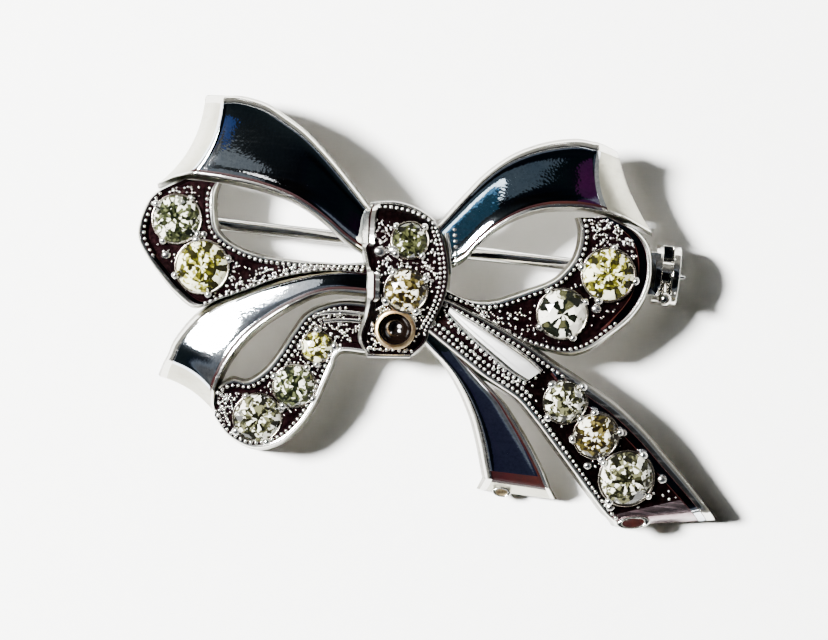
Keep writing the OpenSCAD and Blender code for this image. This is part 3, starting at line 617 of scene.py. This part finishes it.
# %% Seats under the stones and the cup
def cylinder(radius, tall, middle):
    """A cylinder round the z axis, with its radius, height and middle in mm."""
    deselect()
    bpy.ops.mesh.primitive_cylinder_add(vertices=48, radius=radius * MM, depth=tall * MM,
                                        location=(0, 0, middle * MM))
    bpy.ops.object.transform_apply(location=True, rotation=True, scale=True)
    return bpy.context.object


def edit_faces(piece, chosen):
    """Edit mode on a piece, with only the chosen faces selected."""
    bpy.ops.object.mode_set(mode="EDIT")
    bpy.ops.mesh.select_mode(type="FACE")
    bpy.ops.mesh.select_all(action="DESELECT")
    bpy.ops.object.mode_set(mode="OBJECT")
    for face in piece.data.polygons:
        face.select = chosen(face)
    bpy.ops.object.mode_set(mode="EDIT")


def seat_cutter(row):
    """A cylinder that narrows below, at a stone's place."""
    r = stone_radius(row) + SEAT_ROOM
    tool = cylinder(r, SEAT_TALL, SEAT_MIDDLE)
    edit_faces(tool, lambda face: face.normal.z < -0.9)
    bpy.ops.mesh.extrude_region_move(TRANSFORM_OT_translate={"value": (0, 0, -SEAT_SINK * r * MM)})
    bpy.ops.transform.resize(value=(SEAT_FLOOR, SEAT_FLOOR, 1))
    bpy.ops.object.mode_set(mode="OBJECT")
    tool.data.transform(stone_frame(row))
    return tool


def cup_cutter():
    """A cylinder with room for the cup, at its place."""
    tool = cylinder(CUP_R + CUP_ROOM, CUP_TALL, CUP_TALL / 2 - CUP_DEEP - 2 * CUP_ROOM)
    tool.data.transform(CUP_FRAME)
    return tool


def cut_seats(piece, group, more=()):
    """Cuts the seats of a group of stones, and any more tools, out of a ribbon."""
    rows = [row for name, row in STONES.items() if name.startswith("stone_" + group)]
    tools = [seat_cutter(row) for row in rows] + list(more)
    for tool in tools:
        tool.data.materials.append(ground)
    pick(*tools)
    bpy.ops.object.join()
    tool = bpy.context.object
    pick(piece)
    cut = piece.modifiers.new("seats", "BOOLEAN")
    cut.operation, cut.solver, cut.material_mode, cut.object = "DIFFERENCE", "EXACT", "TRANSFER", tool
    bpy.ops.object.modifier_apply(modifier="seats")
    bpy.data.objects.remove(tool)
    print(piece.name, "with", len(rows), "seats, faces:", len(piece.data.polygons))


cut_seats(left_crescent, "left")
cut_seats(right_crescent, "right")
cut_seats(lower_strip, "lower")
cut_seats(right_tail, "tail")
cut_seats(knot, "knot", more=[cup_cutter()])

# %% [markdown]
# ## Milgrain and prongs
# A jeweller rolls a row of tiny beads along an edge with a knurled wheel. One bead is modelled and
# copied along each shelf, equally far apart. Loose smaller grains, which stay clear of the stones,
# roughen the grounds, and the prongs are larger ones pushed over each stone.


# %% Balls and copies of them
def copies_of(master, name, places):
    """Copies of one piece, each with its own mesh, at the matrices given, joined into one piece."""
    made = []
    for spot in places:
        twin = master.copy()
        twin.data = master.data.copy()
        twin.data.transform(spot)
        bpy.context.collection.objects.link(twin)
        made.append(twin)
    pick(*made)
    bpy.ops.object.join()
    piece = bpy.context.object
    piece.name = piece.data.name = name
    bpy.data.objects.remove(master)
    return dress(piece)


def ball(radius, segments, rings, finish=bright):
    """A smooth ball at the origin, with its radius in mm."""
    deselect()
    bpy.ops.mesh.primitive_uv_sphere_add(segments=segments, ring_count=rings, radius=radius * MM)
    bpy.ops.object.shade_smooth()
    bpy.context.object.data.materials.append(finish)
    return bpy.context.object


# %% Lines that small parts follow
# How far the middles of beads, of wires and of loose grains lie below a ribbon's top, in mm
BEAD_LOW, WIRE_LOW, GRAIN_LOW = -0.1, -0.05, -0.26


def shelf_line(rows, outer, inset, first, last):
    """Points along one shelf of a stone-set ribbon, inset mm from its edge."""
    fine = smooth_rows(rows, FINE_STEPS)
    out = []
    for r in fine[int(first * len(fine)):int(math.ceil(last * len(fine)))]:
        edge, across, w, _ = span(r)
        x = min(inset, 0.3 * w) / w
        out.append(edge + across * (x if outer else 1 - x) + [0, 0, BEAD_LOW])
    return np.array(out)


def across_line(rows, row, start, end, depth=BEAD_LOW):
    """Points across a ribbon at one row of its table, from share start to share end of its width."""
    edge, across, _, side = span(smooth_rows(rows, FINE_STEPS)[int(round(row * FINE_STEPS))])
    return np.array([edge + across * t + side * 4 * t * (1 - t) + [0, 0, depth]
                     for t in np.linspace(start, end, 12)])


def spots_line(*spots):
    """Points given in percentages along, across and up."""
    return np.array([mm_at(*spot) for spot in spots])


def along_line(points, spacing):
    """Places equally far apart along a line of points."""
    run = np.concatenate([[0], np.cumsum(np.linalg.norm(np.diff(points, axis=0), axis=1))])
    stops = np.linspace(0, run[-1], max(2, int(run[-1] / spacing)))
    return [np.array([np.interp(s, run, points[:, k]) for k in range(3)]) for s in stops]


print("points across the knot:", len(across_line(KNOT, 0.7, 0.18, 0.92)))

# %% Beads along the shelves
# Which ribbon, whether its outer shelf, mm from the edge, first and last share of its length, and pitch
BEAD_LINES = [
    (LEFT_CRESCENT, True, 0.44, 0.08, 0.31, 0.40), (LEFT_CRESCENT, True, 0.44, 0.55, 0.97, 0.40),
    (LEFT_CRESCENT, False, 0.44, 0.04, 0.97, 0.40),
    (RIGHT_CRESCENT, True, 0.44, 0.46, 0.97, 0.40), (RIGHT_CRESCENT, False, 0.44, 0.02, 0.97, 0.40),
    (LOWER_LEFT_STRIP, True, 0.44, 0.12, 1.0, 0.38), (LOWER_LEFT_STRIP, False, 0.44, 0.08, 1.0, 0.38),
    (LOWER_LEFT_STRIP, False, 0.85, 0.08, 0.5, 0.38), (RIGHT_TAIL, True, 0.44, 0.06, 0.48, 0.40),
    (RIGHT_TAIL, False, 0.44, 0.04, 0.9, 0.40), (RIGHT_TAIL, False, 0.85, 0.04, 0.45, 0.40),
    (TAIL_CHANNEL, False, -0.25, 0.0, 1.0, 0.40), (KNOT, False, 0.24, 0.06, 0.84, 0.32),
    (KNOT, False, 0.56, 0.1, 0.8, 0.32)]
lines = [(shelf_line(*row[:5]), row[5]) for row in BEAD_LINES] + [
    (across_line(KNOT, 0.7, 0.18, 0.92), 0.36), (across_line(KNOT, 9.6, 0.1, 0.9), 0.36),
    (spots_line((17.2, 25, 79.5), (18.2, 18, 79), (19.2, 10, 78)), 0.32)]
spots = []
for line, pitch in lines:
    for p in along_line(line, pitch):
        # A bead's radius is a little less than half the pitch
        size = 0.43 * pitch * dice.uniform(0.86, 1.1)
        spots.append(Matrix.Translation(Vector(p) * MM) @ Matrix.Diagonal((size, size, size * 0.9, 1)))
copies_of(ball(1, 8, 5), "milgrain", spots)

# %% Granulation of the grounds
# The room that grains leave round a stone, and their smallest and largest radius, in mm
CLEAR, GRAIN_R = 0.2, (0.07, 0.14)
# What the grains keep clear of: the middle of each stone and of the cup, and how far to stay from it
KEPT_CLEAR = [(mm_at(*row[0:3]), stone_radius(row) + CLEAR) for row in STONES.values()]
KEPT_CLEAR.append((mm_at(*CUP_SPOT), CUP_R + CUP_WALL))


def scattered(rows, count, first, last, near=0.2, far=0.8):
    """Places of loose small grains over a ribbon's ground, between two shares of its length and width."""
    fine = smooth_rows(rows, FINE_STEPS)
    out = []
    while len(out) < count:
        edge, across, _, _ = span(fine[int(dice.uniform(first, last) * len(fine))])
        spot = edge + across * dice.uniform(near, far) + [0, 0, GRAIN_LOW]
        if all(math.hypot(*(spot - middle)[:2]) > reach for middle, reach in KEPT_CLEAR):
            size = dice.uniform(*GRAIN_R)
            out.append(Matrix.Translation(Vector(spot) * MM) @ Matrix.Diagonal((size, size, size, 1)))
    return out


spots = []
for field in ((LEFT_CRESCENT, 215, 0.04, 0.9), (RIGHT_CRESCENT, 60, 0.04, 0.9),
              (LOWER_LEFT_STRIP, 270, 0.0, 0.98), (KNOT, 130, 0.03, 0.97), (RIGHT_TAIL, 110, 0.04, 0.88),
              (RIGHT_CRESCENT, 90, 0.0, 0.2), (RIGHT_CRESCENT, 60, 0.2, 0.9),
              (KNOT, 190, 0.04, 0.96, 0.13, 0.88)):
    spots += scattered(*field)
copies_of(ball(1, 7, 4), "granulation", spots)

# %% Prongs beside the stones
# A prong's radius, and how far out of and above the girdle it stands, in mm
PRONG_R, PRONG_OUT, PRONG_UP = 0.3, 0.16, 0.10
spots = []
for row in STONES.values():
    for k in range(4):
        turn = math.radians(row[6] + 90 * k + dice.uniform(-6, 6))
        out = stone_radius(row) + PRONG_OUT
        here = Matrix.Translation(Vector((out * math.cos(turn), out * math.sin(turn), PRONG_UP)) * MM)
        size = dice.uniform(0.9, 1.15)
        shape = Matrix.Rotation(turn, 4, "Z") @ Matrix.Diagonal((0.9 * size, 1.05 * size, 1.0, 1))
        spots.append(stone_frame(row) @ here @ shape)
# Larger grains: along, across and height in percentages, and their size in prongs
for along, across, height, size in (
        (-84.7, -0.9, 61, 1.2), (-72, 10.4, 63, 1.0), (74.9, -73.4, 53, 1.1), (84.9, -91, 43, 1.1),
        (102.3, -75.8, 47, 1.2), (86, -56.9, 56.5, 1.1), (71.3, -2.8, 66, 1.3), (-8.3, 11.5, 91.5, 1.5),
        (-3.2, 12.6, 91.5, 1.5), (-35.5, -61.5, 53, 1.1)):
    shape = Matrix.Diagonal((size, 0.85 * size, 0.6, 1))
    spots.append(Matrix.Translation(place(along, across, height)) @ shape)
copies_of(ball(PRONG_R, 14, 9), "prongs", spots)

# %% [markdown]
# ## Thin wires, collars and the empty cup
# Fine polished wires edge the knot, two more ridge the strip at its left, and each stone sits in a
# thin collar. A wire is a path with a round section, turned into a mesh. The lowest cup of the knot
# holds no stone: it is a turned bowl, made from a cylinder whose top is inset and sunk in steps.


# %% Wires and collars
def wire(name, points, radius):
    """A thin round wire, radius in mm, along a line of points in mm."""
    deselect()
    bpy.ops.curve.primitive_nurbs_path_add()
    piece = bpy.context.object
    piece.name = name
    path = piece.data
    path.splines.clear()
    line = path.splines.new("POLY")
    line.points.add(len(points) - 1)
    for point, spot in zip(line.points, points):
        point.co = (*(np.array(spot) * MM), 1)
    path.bevel_depth, path.bevel_resolution, path.use_fill_caps = radius * MM, 2, True
    bpy.ops.object.convert(target="MESH")
    bpy.ops.object.shade_smooth()
    return dress(bpy.context.object, rim)


def torus(radius, thick, sides, finish):
    """A ring round the z axis, with the radius of the ring and of its section in mm."""
    deselect()
    bpy.ops.mesh.primitive_torus_add(major_segments=40, minor_segments=sides, major_radius=radius * MM,
                                     minor_radius=thick * MM)
    bpy.ops.object.shade_smooth()
    bpy.context.object.data.materials.append(finish)
    return bpy.context.object


wire("knot_top_wire", across_line(KNOT, 0.2, 0.03, 0.97, WIRE_LOW), 0.14)
wire("knot_foot_wire", across_line(KNOT, 9.95, 0.02, 0.98, WIRE_LOW), 0.14)
wire("knot_side_wire", spots_line((14.4, 23, 79), (16.2, 14.5, 79), (17.7, 5, 77.5)), 0.15)
wire("strip_wire", spots_line((-29, -19.8, 61.5), (-24, -18, 62), (-18, -17.2, 62.5), (-11, -17, 62.5)),
     0.2)
wire("strip_wire_2", spots_line((-25.5, -22.6, 61), (-21.5, -21.3, 61.5), (-17, -20.6, 62), (-11, -20.4, 62)),
     0.17)
aged = metal("aged_collar", (0.46, 0.43, 0.36), (0.16, 0.13, 0.10), (0.04, 0.02, 0.015), 0.4, 0.2, 0.34)
# A collar's room round its stone, its height above the girdle and its own radius, in mm
COLLAR_ROOM, COLLAR_UP, COLLAR_R = 0.07, 0.02, 0.055
raised = Matrix.Translation((0, 0, COLLAR_UP * MM))
spots = []
for row in STONES.values():
    r = stone_radius(row) + COLLAR_ROOM
    spots.append(stone_frame(row) @ raised @ Matrix.Diagonal((r, r, 1, 1)))
copies_of(torus(1, COLLAR_R, 6, aged), "collars", spots)

# %% The empty cup
cup_rim = metal("cup_rim", (0.62, 0.53, 0.32), (0.44, 0.27, 0.11), (0.16, 0.04, 0.03), 0.40, 0.30, 0.42)
cup_inside = metal("cup_inside", (0.0012, 0.0007, 0.0006), (0.002, 0.001, 0.0006), (0.008, 0.003, 0.002),
                   0.10, 0.12, 0.16, plating=0.0)
cup = cylinder(CUP_R + CUP_WALL, CUP_DEEP + CUP_WALL, -(CUP_DEEP + CUP_WALL) / 2)
cup.name = cup.data.name = "empty_cup"
edit_faces(cup, lambda face: face.normal.z > 0.9)
# The rim rises, runs nearly level and falls inwards, by these widths and heights in mm
for thickness, depth in ((0.06, 0.05), (0.14, 0.02), (0.06, -0.09)):
    bpy.ops.mesh.inset(thickness=thickness * MM, depth=depth * MM)
# The bowl sinks in steps along a quarter of a circle
turns = [math.radians(12 * k) for k in range(8)]
for a, b in zip(turns, turns[1:]):
    sink, width = CUP_DEEP * (math.sin(b) - math.sin(a)), math.cos(b) / math.cos(a)
    bpy.ops.mesh.extrude_region_move(TRANSFORM_OT_translate={"value": (0, 0, -sink * MM)})
    bpy.ops.transform.resize(value=(width, width, 1))
bpy.ops.object.mode_set(mode="OBJECT")
for face in cup.data.polygons:
    inside = face.center.to_2d().length / MM < CUP_R - 0.02 and face.center.z > -(CUP_DEEP + 0.1) * MM
    face.material_index = int(inside)
cup.data.transform(CUP_FRAME)
pick(cup)
bpy.ops.object.shade_smooth_by_angle(angle=math.radians(50))
dress(cup, cup_rim, cup_inside)


# %% Rippled ends of the tails
def ripple(name, spot, long, short, turn, tilt, inside):
    """An oval ring round a hollow, which is how a rolled ribbon's end shows."""
    here = (Matrix.Translation(place(*spot)) @ Matrix.Rotation(math.radians(turn), 4, "Z")
            @ Matrix.Rotation(math.radians(tilt), 4, "X"))
    ring = torus(0.8, 0.2, 10, rim)
    dish = ball(0.78, 24, 12, inside)
    dish.data.transform(Matrix.Diagonal((1, 1, 0.12, 1)))
    pick(ring, dish)
    bpy.ops.object.join()
    ring.name = ring.data.name = name
    ring.data.transform(here @ Matrix.Diagonal((long, short, 1, 1)))
    return dress(ring)


ripple("right_tail_ripple", (94, -96.9, 36), 1.25, 0.5, 12, 12, seam)
ripple("centre_tail_ripple", (45.5, -90.2, 18), 0.7, 0.4, 0, 20, cup_rim)

# %% [markdown]
# ## The stones
# Each is a cut glass crown over a pavilion backed with foil, which is what makes it sparkle on a
# closed seat. The solid's facets are right, so a copy of it is merged, its lower facets get the foil
# and the upper ones glass tinted as each stone has aged. The sparkle itself is painted: the glass's
# colour is broken into light flecks and dark cells, and the foil's brightness changes from facet to
# facet and crease to crease.

# %% A shader node group for flecks of painted sparkle
# How many rays go round a stone, and how many rings of them lie between its axis and its girdle
RAYS, RINGS = 20.0, 2.7


def flecks_group():
    """A random value for each fleck of painted sparkle, in rays round the stone's axis and in cells, and one
    for each facet.
    """
    group, ins, outs = new_group("painted_sparkle_flecks", {"Scale": 3600.0, "Rays": 0.5, "Seed": 0.0},
                                 ("Fleck", "Facet"))
    # Cells, which start afresh on each facet
    coords = add_node(group, "TexCoord")
    facing = add_node(group, "NewGeometry")
    steps = add_node(group, "VectorMath", (facing, "True Normal"), (0.11, 0.11, 0.11), operation="SNAP")
    lot = add_node(group, "TexWhiteNoise", (steps, "Vector"))
    shift = add_node(group, "VectorMath", (lot, "Color"), operation="SCALE", Scale=0.002)
    moved = add_node(group, "VectorMath", (coords, "Object"), (shift, "Vector"), operation="ADD")
    cells = add_node(group, "TexVoronoi", (moved, "Vector"), Scale=(ins, "Scale"))
    # Rays, of which each ring is turned by half a ray and a little uneven
    plan = add_node(group, "UVMap", uv_map="plan")
    here = (plan, "UV")
    turn = add_node(group, "TexGradient", here, gradient_type="RADIAL")
    out = add_node(group, "VectorMath", here, operation="LENGTH")
    further = add_node(group, "Math", (out, "Value"), 0.5, operation="ADD")
    ring = add_node(group, "Math", (further, "Value"), RINGS, operation="MULTIPLY")
    whole = add_node(group, "Math", (ring, "Value"), operation="FLOOR")
    wobble = add_node(group, "TexNoise", here, Scale=5.0, Detail=1.0)
    sector = add_node(group, "Math", (turn, "Fac"), RAYS, (wobble, "Fac"), operation="MULTIPLY_ADD")
    turned = add_node(group, "Math", (whole, "Value"), 0.5, (sector, "Value"), operation="MULTIPLY_ADD")
    cell = add_node(group, "CombineXYZ", (turned, "Value"), (whole, "Value"), (ins, "Seed"))
    corner = add_node(group, "VectorMath", (cell, "Vector"), operation="FLOOR")
    ray = add_node(group, "TexWhiteNoise", (corner, "Vector"))
    both = add_node(group, "Mix", Factor=(ins, "Rays"), A=(cells, "Color"), B=(ray, "Value"))
    fill(group, outs, {"Fleck": (both, "Result"), "Facet": (lot, "Value")})
    return group


PAINTED_FLECKS = flecks_group()
print("group sockets:", [s.name for s in PAINTED_FLECKS.interface.items_tree])


# %% Glass and foil
def colour_ramp(tree, value, stops, blend="LINEAR"):
    """A Color Ramp node, whose stops are each a place and a colour."""
    node = add_node(tree, "ValToRGB", value)
    node.color_ramp.interpolation = blend
    for k, (spot, colour) in enumerate(stops):
        stop = node.color_ramp.elements[k] if k < 2 else node.color_ramp.elements.new(spot)
        stop.position, stop.color = spot, (*colour, 1)
    return node


def glass(name, lightest, rays, seed, tones):
    """Cut glass over foil: part of what shows is the glass, and part the foil's broken sparkle, painted into
    its colour as light flecks and dark cells over the stone's tint.
    """
    mat, tree, skin = new_material(name)
    flecks = add_node(tree, "Group", node_tree=PAINTED_FLECKS, Rays=rays, Seed=seed)
    tone = colour_ramp(tree, (flecks, "Fleck"), zip((0.0, 0.40, 0.50, lightest), tones), "CONSTANT")
    wear = add_node(tree, "Group", node_tree=WEAR)
    gloss = remap(tree, (wear, "Scratches"), 0.0, 1.0, 0.0, 0.03)
    fill(tree, skin, {"Base Color": (tone, "Color"), "Roughness": (gloss, "Result"),
                      "Transmission Weight": 0.42, "IOR": 1.56})
    return mat


def foil(name, rays, seed, light, deep):
    """Foil behind glass, whose brightness is painted facet by facet and crease by crease as the glitter of
    its facets.
    """
    mat = metal(name, light, deep, (0.06, 0.05, 0.02), 0.3, 0.22, 0.34, scale=0.6)
    tree = mat.node_tree
    skin = tree.nodes["Principled BSDF"]
    plate = skin.inputs["Base Color"].links[0].from_node
    flecks = add_node(tree, "Group", node_tree=PAINTED_FLECKS, Rays=rays, Seed=seed + 5)
    crease = remap(tree, (flecks, "Fleck"), 0.34, 0.60, 0.02)
    share = remap(tree, (flecks, "Facet"), 0.15, 0.50, 0.25)
    both = add_node(tree, "Math", (crease, "Result"), (share, "Result"), operation="MULTIPLY")
    # The foil's colour, darkened facet by facet and crease by crease, is painted glitter
    painted_glints = add_node(tree, "Mix", data_type="RGBA", blend_type="MULTIPLY", Factor=1.0,
                   A=(plate, "Result"), B=(both, "Value"))
    fill(tree, skin, {"Base Color": (painted_glints, "Result")})
    return mat


# Each stone's tint and its sparkle, painted into glass and foil: where the lightest flecks start, the
# rays' share, a seed, four tones from dark to light, and the foil's two colours
GLASS = {
    "clear": (0.62, 0.50, 1, (0.004, 0.004, 0.002), (0.026, 0.026, 0.012), (0.13, 0.13, 0.065),
              (1.0, 0.99, 0.86), (0.62, 0.60, 0.45), (0.19, 0.19, 0.10)),
    "star": (0.55, 0.90, 2, (0.004, 0.005, 0.003), (0.045, 0.045, 0.02), (0.22, 0.22, 0.12),
             (1.0, 0.99, 0.84), (0.80, 0.78, 0.58), (0.40, 0.39, 0.25)),
    "grey_green": (0.65, 0.45, 3, (0.003, 0.004, 0.002), (0.017, 0.020, 0.008), (0.075, 0.085, 0.036),
                   (1.0, 1.0, 0.82), (0.40, 0.42, 0.28), (0.12, 0.14, 0.08)),
    "yellow": (0.60, 0.50, 4, (0.010, 0.009, 0.002), (0.07, 0.066, 0.007), (0.27, 0.255, 0.034),
               (1.0, 0.99, 0.68), (0.66, 0.63, 0.15), (0.26, 0.24, 0.03)),
    "olive": (0.61, 0.45, 5, (0.006, 0.004, 0.002), (0.038, 0.030, 0.006), (0.14, 0.11, 0.03),
              (1.0, 0.97, 0.78), (0.46, 0.42, 0.20), (0.18, 0.14, 0.05)),
    "deep_olive": (0.70, 0.45, 6, (0.003, 0.003, 0.0015), (0.018, 0.020, 0.007), (0.06, 0.065, 0.024),
                   (1.0, 1.0, 0.86), (0.16, 0.16, 0.08), (0.06, 0.06, 0.025))}
# Each crown's colour paints its stone's sparkle as light flecks and dark cells over its tint
painted_sparkle_crowns = {k: glass("painted_sparkle_crown_" + k, *v[:3], v[3:7]) for k, v in GLASS.items()}
# Each foil's colour paints the glints of its facets
foils_with_painted_glints = {k: foil("painted_glint_foil_" + k, *v[1:3], *v[7:]) for k, v in GLASS.items()}
print("glass:", len(painted_sparkle_crowns), "foil:", len(foils_with_painted_glints))


# %% Stones from the solids' facets
def copied_solid(name, new_name):
    """A solid's own mesh under a new name, without its finish, in edit mode with its triangles merged."""
    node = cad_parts[name]
    piece = node.copy()
    piece.data = node.data.copy()
    piece.name = piece.data.name = new_name
    piece.parent = None
    bpy.context.collection.objects.link(piece)
    piece.hide_render = piece.hide_viewport = False
    piece.data.materials.clear()
    edit_merged(piece)
    return piece


def cut_stone(name, row):
    """A stone with its facets in glass above and in foil below, and a map of its rays."""
    piece = copied_solid(name, name.replace("stone", "set_stone"))
    bpy.ops.object.mode_set(mode="OBJECT")
    bpy.ops.object.shade_flat()
    seat = stone_frame(row)
    flat = (seat @ Matrix.Rotation(dice.uniform(0, 6.28), 4, "Z")).inverted()
    r = stone_radius(row) * MM
    plan = piece.data.uv_layers.new(name="plan")
    for corner in piece.data.loops:
        spot = flat @ piece.data.vertices[corner.vertex_index].co
        plan.data[corner.index].uv = (spot.x / r, spot.y / r)
    up = seat.to_3x3() @ Vector((0, 0, 1))
    for face in piece.data.polygons:
        face.material_index = int(face.normal.dot(up) < -0.15)
    return dress(piece, painted_sparkle_crowns[row[7]], foils_with_painted_glints[row[7]], part="stone", solid=name)


for name, row in STONES.items():
    cut_stone(name, row)

# %% [markdown]
# ## The findings
# The pin and its rivet come from the solids, whose shapes are right, so they only get a finish. The
# hook, its lock and the hinge's bracket are bent and soldered by hand, so copies of them get soft
# edges. The pin is drawn steel, and the rest is worn plate.

# %% Findings
pin_steel = metal("drawn_steel", (0.80, 0.80, 0.78), (0.60, 0.60, 0.58), (0.26, 0.22, 0.18), 0.2, 0.12, 0.28)
fitting = metal("fitting_plate", (0.86, 0.85, 0.80), (0.50, 0.48, 0.43), (0.08, 0.06, 0.05), 0.35, 0.07, 0.14)
SHARP = math.radians(35)


def rounded(name, body, width):
    """A copy of a finding with its sharp edges rounded by width mm, as tumbling leaves them."""
    piece = copied_solid(name, "tumbled_" + name)
    bpy.ops.mesh.dissolve_limited(angle_limit=math.radians(1))
    bpy.ops.object.mode_set(mode="OBJECT")
    bevel = piece.modifiers.new("tumbled", "BEVEL")
    bevel.width, bevel.segments, bevel.angle_limit = width * MM, 3, SHARP
    bpy.ops.object.modifier_apply(modifier="tumbled")
    bpy.ops.object.shade_smooth_by_angle(angle=SHARP)
    return dress(piece, fitting, body=body, part="findings", solid=name)


rounded("catch_hook", "bow", 0.18)
rounded("catch_lock", "lock", 0.1)
rounded("hinge_bracket", "bow", 0.08)
for name, finish in (("pin_stem", pin_steel), ("hinge_rivet", fitting)):
    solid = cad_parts[name].data
    solid.materials.clear()
    solid.materials.append(finish)

# %% [markdown]
# ## Floor, light and camera
# The brooch lies on a plain pale floor. The sky is dark overhead and bright towards the horizon,
# which is what turns the hollows black and leaves the rims white. Of the two soft lights at the left,
# the higher one shows in reflections alone, and the lower one casts the shadows. Small sparks and
# coloured cards stand where the polished pieces mirror them.

# %% Floor
deselect()
bpy.ops.mesh.primitive_plane_add(size=1.2, location=(0, 0, -0.02 * MM))
floor = bpy.context.object
floor.name = "floor"
floor_mat, tree, skin = new_material("pale_floor")
coords = add_node(tree, "TexCoord")
noise = add_node(tree, "TexNoise", (coords, "Object"), Scale=900.0, Detail=2.0)
tone = add_node(tree, "Mix", data_type="RGBA", Factor=(noise, "Fac"), A=(0.92, 0.92, 0.90, 1),
                B=(0.88, 0.88, 0.85, 1))
fill(tree, skin, {"Base Color": (tone, "Result"), "Roughness": 0.8})
floor.data.materials.append(floor_mat)
print(floor.name, "size:", tuple(floor.dimensions))

# %% Sky
world = bpy.data.worlds.new("studio_sky")
bpy.context.scene.world = world
world.use_nodes = True
tree = world.node_tree
sky = tree.nodes["Background"]
coords = add_node(tree, "TexCoord")
above = (coords, "Generated")
# The dark cap overhead: faint tints, and greyer towards the left
tints = add_node(tree, "TexNoise", above, Scale=2.6, Detail=2.0)
dark = colour_ramp(tree, (tints, "Fac"), (
    (0.42, (0.002, 0.002, 0.003)), (0.50, (0.004, 0.007, 0.014)), (0.57, (0.005, 0.013, 0.016)),
    (0.66, (0.020, 0.004, 0.024))))
parts = add_node(tree, "SeparateXYZ", above)
leftness = remap(tree, (parts, "X"), -0.08, -0.30)
cap = add_node(tree, "Mix", data_type="RGBA", Factor=(leftness, "Result"), A=(dark, "Color"),
               B=(0.03, 0.045, 0.05, 1))
# From the horizon up: a bright band, a greyer zone, a bright ring with a blue edge, then the cap
lean = add_node(tree, "VectorMath", above, Vector((-0.10, -0.22, 0.97)).normalized(), operation="DOT_PRODUCT")
bands = colour_ramp(tree, (lean, "Value"), (
    (0.30, (1.0, 0.98, 0.90)), (0.56, (0.30, 0.30, 0.30)), (0.72, (0.34, 0.35, 0.37)),
    (0.79, (0.42, 0.48, 0.56)), (0.84, (0.012, 0.022, 0.05))))
height = remap(tree, (lean, "Value"), 0.80, 0.89, interpolation_type="SMOOTHSTEP")
blend = add_node(tree, "Mix", data_type="RGBA", Factor=(height, "Result"), A=(bands, "Color"),
                 B=(cap, "Result"))
# The metal sees a brighter sky than the one that lights the floor
rays = add_node(tree, "LightPath")
power = remap(tree, (rays, "Is Diffuse Ray"), 0.0, 1.0, 0.34, 0.02)
fill(tree, sky, {"Color": (blend, "Result"), "Strength": (power, "Result")})
print("sky nodes:", len(tree.nodes))


# %% Lights
def soft_light(name, where, size, power):
    """A round light that faces the brooch, with its size in metres and its power in watts."""
    data = bpy.data.lights.new(name, "AREA")
    data.shape, data.size, data.energy = "DISK", size, power
    lamp = bpy.data.objects.new(name, data)
    bpy.context.collection.objects.link(lamp)
    lamp.location = where
    lamp.rotation_euler = (-Vector(where)).to_track_quat("-Z", "Y").to_euler()
    return lamp


window_light = soft_light("window_light", (-0.30, 0.08, 0.48), 0.17, 22.0)
window_light.visible_diffuse = False
low_light = soft_light("low_light", (-0.385, 0.050, 0.43), 0.11, 36.0)
low_light.visible_glossy = False
for name, where in (("spark_left", (-0.42, -0.10, 0.17)), ("spark_right", (0.40, 0.16, 0.19)),
                    ("spark_near", (0.08, -0.42, 0.18)), ("spark_far", (-0.05, 0.42, 0.16))):
    soft_light(name, where, 0.05, 0.05).visible_diffuse = False
# Coloured cards, each seen in one piece alone: the piece, place, size, brightness and colour
for name, seen_in, where, size, shine, colour in (
        ("white_card", upper_right, (-0.042, -0.064, 0.494), 0.056, 4.0, (0.80, 0.93, 1.0)),
        ("blue_card", upper_right, (-0.082, -0.060, 0.489), 0.050, 0.5, (0.25, 0.60, 1.0)),
        ("teal_card", upper_right, (-0.105, -0.060, 0.482), 0.13, 0.10, (0.10, 0.42, 0.70)),
        ("grey_card", upper_right, (0.014, -0.093, 0.490), 0.14, 0.09, (0.60, 0.82, 1.0)),
        ("purple_card", upper_right, (0.238, 0.030, 0.480), 0.30, 0.075, (0.60, 0.07, 0.50)),
        ("pale_card", upper_left, (-0.125, 0.035, 0.480), 0.10, 0.16, (0.82, 0.92, 1.0)),
        ("edge_card", upper_left, (-0.072, 0.115, 0.482), 0.05, 3.0, (1.0, 0.98, 0.94)),
        ("crest_card", upper_left, (-0.162, -0.042, 0.473), 0.065, 0.16, (0.07, 0.24, 1.0)),
        ("lower_card", lower_left, (-0.200, 0.124, 0.476), 0.16, 0.8, (0.95, 0.98, 1.0)),
        ("indigo_card", centre_tail, (-0.060, -0.300, 0.395), 0.24, 0.03, (0.45, 0.42, 1.0)),
        ("cup_card", cup, (-0.25, -0.20, 0.40), 0.24, 90.0, (1.0, 0.97, 0.94)),
        ("cup_glint_card", cup, (0.24, 0.24, 0.42), 0.06, 110.0, (1.0, 0.97, 0.94))):
    # A round light's brightness is its power over pi times its area
    card = soft_light(name, where, size, shine * (math.pi * size / 2) ** 2)
    card.data.color = colour
    card.visible_diffuse = False
    seen_by = bpy.data.collections.new(name + "_seen_by")
    seen_by.objects.link(seen_in)
    card.light_linking.receiver_collection = seen_by

# %% Camera at the photograph's angle
# Its height, and how wide a strip it sees at what height, in metres
HEIGHT, WIDTH, SEEN_AT = 0.30, 0.0596, 0.005
# The point it looks at in mm, and its turn in degrees
LOOK_X, LOOK_Y, TURN = 1.33, -2.75, 6.6
SENSOR = 36
data = bpy.data.cameras.new("camera")
camera = bpy.data.objects.new("camera", data)
bpy.context.collection.objects.link(camera)
camera.location = Vector(((LOOK_X - MIDDLE_X) * MM, (LOOK_Y - MIDDLE_Y) * MM, HEIGHT))
camera.rotation_euler = (0, 0, math.radians(TURN))
data.sensor_width = SENSOR
data.lens = SENSOR * (HEIGHT - SEEN_AT) / WIDTH
data.clip_start, data.clip_end = 0.01, 5
bpy.context.scene.camera = camera
print("lens:", round(data.lens, 1), "mm")
